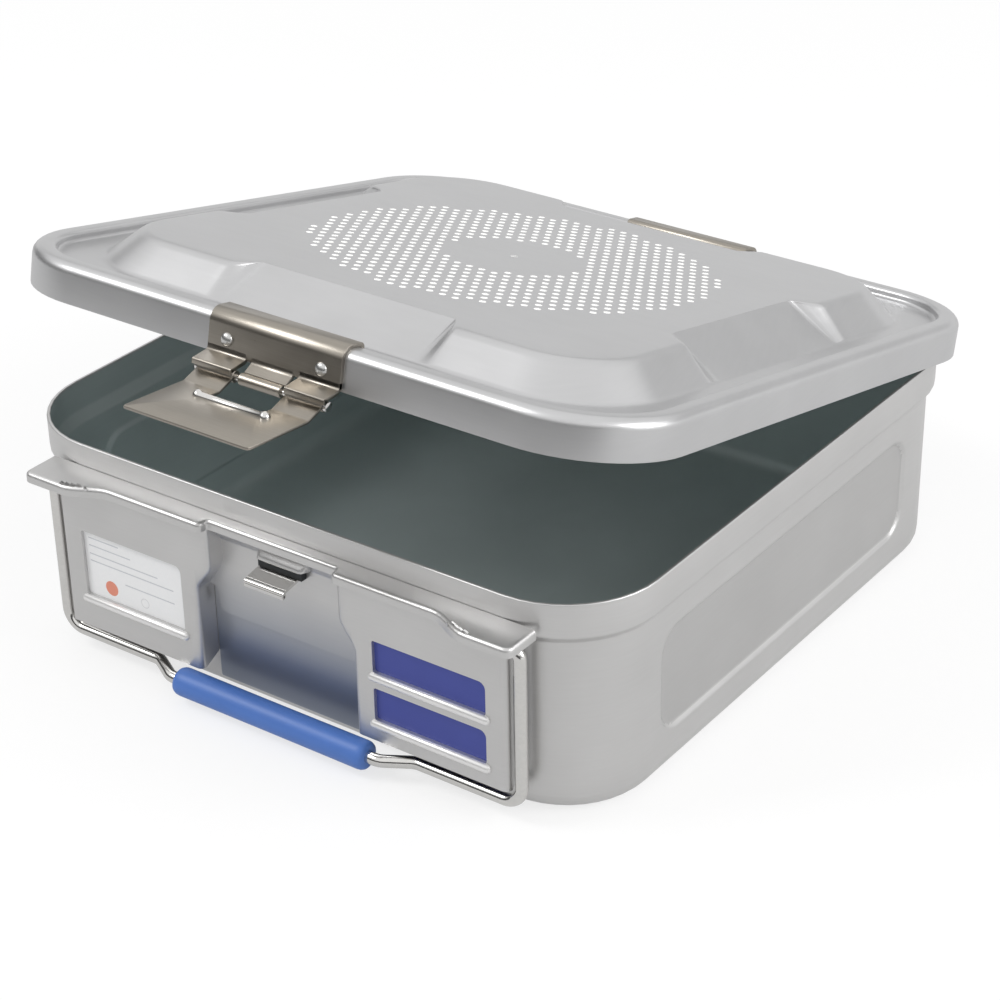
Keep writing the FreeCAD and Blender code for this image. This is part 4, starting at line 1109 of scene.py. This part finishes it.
def dome(radius, height, x, y, z, rings=5, sides=24):
    """Domed rivet head standing out towards the front."""
    verts = []
    for k in range(rings):
        a = math.radians(90 * k / rings)
        wide = radius * math.cos(a)
        verts += [(x + wide * c, y - height * math.sin(a), z + wide * s) for c, s in circle(sides)]
    faces = turned_over(quads(rings, sides))
    top = (rings - 1) * sides
    faces += [(top + i, rings * sides, top + (i + 1) % sides) for i in range(sides)]
    return verts + [(x, y - height, z)], faces


def latch_pin(end):
    """Pin with a rounded head at each end of the bracket."""
    profile = both_halves([(-31.0, 1.2), (-30.8, 1.9), (-29.6, 2.0), (-29.5, 1.2)])
    pin = shifted(lathe_x(profile, 24), 0, *PIN)
    make(end + "_pin", *pin, "polished", "lid", place=lid_place(end),
         replaces=(end + "_latch_pin",), slot="polished_wire")


def latch_flap(end):
    """Two arms with rolled eyes, a dark window between them and the folded finger plate."""
    set_on = {"body": end + "_latch", "place": REAR_HANG if end == "rear" else LID_SEAT}
    inner_x, outer_x = ARM
    line = soft_path([(-155.8, -4.0), FOLD, FLAP_EDGE], [3.0], 6)
    total = path_lengths(line)
    fold_u, end_u = (total[1] + total[-2]) / 2, total[-1]
    rod_u = fold_u + FOLD[0] - ROD[0]
    side = [(0, inner_x), (0, outer_x), (end_u - 1.4, outer_x), (end_u - 0.4, 28.9), (end_u, 27.9)]
    outline = side + [(u, -x) for u, x in side[::-1]] + [(rod_u + 0.4, -inner_x), (rod_u + 0.4, inner_x)]
    flap = folded(cut_sheet(outline, [], total[1:-1]), line)
    make(end + "_flap", *flap, "steel", thickness=FLAP_SHEET, bevel=0.25,
         replaces=(end + "_latch_flap",), slot="stainless_sheet", **set_on)
    eye = shifted(lathe_x(eye_profile(inner_x, outer_x), 28), 0, *PIN)
    make(end + "_eyes", *joined(eye, mirrored(eye)), "steel", slot="stainless_sheet", **set_on)
    knob = [(-ROD_HALF - KNOB_R * s, max(KNOB_R * c, 0.05)) for c, s in arc(90, -46, -15)]
    rod = shifted(lathe_x(both_halves(knob), 28), 0, *ROD)
    make(end + "_rod", *rod, "polished", replaces=(end + "_latch_rod",), slot="polished_wire",
         sharp=60, **set_on)


# Operators

class CONTAINER_OT_base(bpy.types.Operator):
    """Build the drawn base pan with its pressed side panels"""

    bl_idname = "container.base"
    bl_label = "Base pan"

    def execute(self, context):
        base_pan()
        paint("rivet", "front_carrier_rivets", "rear_carrier_rivets")
        return {"FINISHED"}


class CONTAINER_OT_carriers(bpy.types.Operator):
    """Build the carrier stampings with their holders, flange and keepers"""

    bl_idname = "container.carriers"
    bl_label = "Carriers and keepers"

    def execute(self, context):
        for end in ("front", "rear"):
            carrier(end)
            keeper(end)
        return {"FINISHED"}


class CONTAINER_OT_labels(bpy.types.Operator):
    """Finish the card and the two name plates"""

    bl_idname = "container.labels"
    bl_label = "Card and name plates"

    def execute(self, context):
        paint("card", "label_card")
        paint("plate", "name_plate_upper", "name_plate_lower")
        return {"FINISHED"}


class CONTAINER_OT_handles(bpy.types.Operator):
    """Build the two wire handles and their sleeves"""

    bl_idname = "container.handles"
    bl_label = "Handles"

    def execute(self, context):
        for end in ("front", "rear"):
            handle(end)
        return {"FINISHED"}


class CONTAINER_OT_lid(bpy.types.Operator):
    """Build the stamped lid and finish what it carries underneath"""

    bl_idname = "container.lid"
    bl_label = "Lid, seal and filter"

    def execute(self, context):
        lid_pan()
        paint("gasket", "lid_gasket")
        paint("filter", "filter_paper")
        paint("steel", "filter_retainer", "retainer_hooks")
        paint("knob", "retainer_hub")
        paint("polished", "retainer_stud")
        return {"FINISHED"}


class CONTAINER_OT_latches(bpy.types.Operator):
    """Build the front and rear latches"""

    bl_idname = "container.latches"
    bl_label = "Latches"

    def execute(self, context):
        for end in ("front", "rear"):
            latch_bracket(end)
            latch_pin(end)
            latch_flap(end)
            paint("rivet", end + "_bracket_rivets")
        return {"FINISHED"}


class CONTAINER_OT_stage(bpy.types.Operator):
    """Set the pale floor, the soft lights and the camera"""

    bl_idname = "container.stage"
    bl_label = "Floor, lights and camera"

    def execute(self, context):
        floor()
        sky(context.scene)
        dim_wall()
        for name, place, size, power in LAMPS:
            lamp(name, place, size, power)
        camera(context.scene)
        context.scene.view_settings.view_transform = "Standard"
        return {"FINISHED"}


def paint(kind, *names):
    """Gives pieces of the CAD model a finish of this script."""
    for name in names:
        mesh = nodes[name].data
        mesh.materials.clear()
        mesh.materials.append(finish_for(kind))


def floor():
    """Pale floor: near white to the camera, dimmer in the metal, and still taking a shadow."""
    mesh = bpy.data.meshes.new("floor")
    mesh.from_pydata([(-6, -6, 0), (6, -6, 0), (6, 6, 0), (-6, 6, 0)], [], [(0, 1, 2, 3)])
    obj = added("floor", mesh)
    obj.location.z = -0.0005
    finish = Finish("pale floor", Roughness=0.9)
    mottle = finish.noise(60, detail=2.0)
    finish.feed(Base_Color=finish.blend(mottle, (0.78, 0.78, 0.78, 1), (0.82, 0.82, 0.82, 1)))
    camera_ray = finish.node("ShaderNodeLightPath", out="Is Camera Ray")
    white = finish.node("ShaderNodeEmission", sockets={
        "Strength": camera_ray * (FLOOR_GLOW - FLOOR_GLOSS) + FLOOR_GLOSS})
    paper = finish.node("ShaderNodeBsdfDiffuse", sockets={"Color": (0.30, 0.30, 0.30, 1)})
    bright = finish.node("ShaderNodeAddShader", sockets={0: white, 1: paper})
    finish.divide("Material Output", Signal(finish, finish.shader.outputs[0]), bright)
    mesh.materials.append(finish.material)


def sky(scene):
    """White to the camera, even low light on surfaces, and to gloss dim a little above the horizon."""
    world = bpy.data.worlds.new("studio")
    scene.world = world
    world.use_nodes = True
    finish = Finish.on(world.node_tree)
    room = finish.node("ShaderNodeBackground", sockets={"Color": (1.0, 1.0, 1.0, 1), "Strength": ROOM_LIGHT})
    heading = finish.node("ShaderNodeTexCoord", out="Generated")
    height = finish.node("ShaderNodeSeparateXYZ", sockets={0: heading}, out=2)
    dim = finish.levels(height, (0.10, 1.0), (0.24, DIM_SKY), (0.34, DIM_SKY), (0.48, 1.0))
    camera_ray = finish.node("ShaderNodeLightPath", out="Is Camera Ray")
    white = finish.node("ShaderNodeBackground", sockets={
        "Color": (1.0, 1.0, 1.0, 1), "Strength": camera_ray * (1 - dim) + dim})
    finish.divide("World Output", room, white)


def dim_wall():
    """Dark band round the studio that only gloss sees, so bright metal has something to show."""
    verts, faces = [], []
    for i, degrees in enumerate(spaced(*WALL_ARC, 7.5)):
        a = math.radians(degrees)
        for z in (0.02, WALL_HEIGHT):
            verts.append((WALL_R * math.cos(a), WALL_R * math.sin(a), z))
        if i:
            faces.append((2 * i - 2, 2 * i, 2 * i + 1, 2 * i - 1))
    mesh = bpy.data.meshes.new("dim_wall")
    mesh.from_pydata(verts, [], faces)
    obj = added("dim_wall", mesh)
    obj.visible_camera = obj.visible_diffuse = obj.visible_shadow = obj.visible_transmission = False
    finish = Finish("dim wall", Roughness=1.0, Emission_Color=(1, 1, 1, 1), Emission_Strength=WALL_TONE)
    mottle = finish.noise(300, detail=1.0)
    finish.feed(Base_Color=finish.blend(mottle, (0.02, 0.02, 0.02, 1), (0.04, 0.04, 0.04, 1)))
    mesh.materials.append(finish.material)


def lamp(name, place, size, power):
    """Square area lamp aimed at the container."""
    light = bpy.data.lights.new(name, "AREA")
    light.shape = "RECTANGLE"
    light.size = light.size_y = size
    light.energy = power
    obj = added(name, light)
    obj.location = place
    obj.rotation_euler = (LAMP_AIM - Vector(place)).to_track_quat("-Z", "Y").to_euler()


def camera(scene):
    """The photograph's view: yaw, pitch and roll of a long lens."""
    data = bpy.data.cameras.new("camera")
    data.sensor_width = 36.0
    data.lens = LENS
    data.shift_x, data.shift_y = LENS_SHIFT
    data.clip_end = 50
    obj = added("camera", data)
    turn = (Matrix.Rotation(math.radians(CAMERA_YAW), 4, "Z")
            @ Matrix.Rotation(math.pi / 2 - math.radians(CAMERA_PITCH), 4, "X")
            @ Matrix.Rotation(math.radians(CAMERA_ROLL), 4, "Z"))
    obj.matrix_world = Matrix.Translation(CAMERA_PLACE) @ turn
    scene.camera = obj


class CONTAINER_PT_panel(bpy.types.Panel):
    """Sizes, colours and build steps of the container"""

    bl_idname = "CONTAINER_PT_panel"
    bl_label = "Sterilization container"
    bl_space_type = "VIEW_3D"
    bl_region_type = "UI"
    bl_category = "Container"

    def draw(self, context):
        layout = self.layout
        for group in (context.scene.container_sizes, context.scene.container_colours):
            for key in group.__annotations__:
                layout.prop(group, key)
        for operator in OPERATORS:
            layout.operator(operator.bl_idname)


OPERATORS = (CONTAINER_OT_base, CONTAINER_OT_carriers, CONTAINER_OT_labels, CONTAINER_OT_handles,
             CONTAINER_OT_lid, CONTAINER_OT_latches, CONTAINER_OT_stage)
CLASSES = (ContainerColours, ContainerSizes) + OPERATORS + (CONTAINER_PT_panel,)


def register():
    for cls in CLASSES:
        bpy.utils.register_class(cls)
    bpy.types.Scene.container_colours = bpy.props.PointerProperty(type=ContainerColours)
    bpy.types.Scene.container_sizes = bpy.props.PointerProperty(type=ContainerSizes)


def unregister():
    del bpy.types.Scene.container_sizes
    del bpy.types.Scene.container_colours
    for cls in reversed(CLASSES):
        bpy.utils.unregister_class(cls)


def main():
    register()
    bpy.ops.container.base()
    bpy.ops.container.carriers()
    bpy.ops.container.labels()
    bpy.ops.container.handles()
    bpy.ops.container.lid()
    bpy.ops.container.latches()
    bpy.ops.container.stage()


if __name__ == "__main__":
    main()
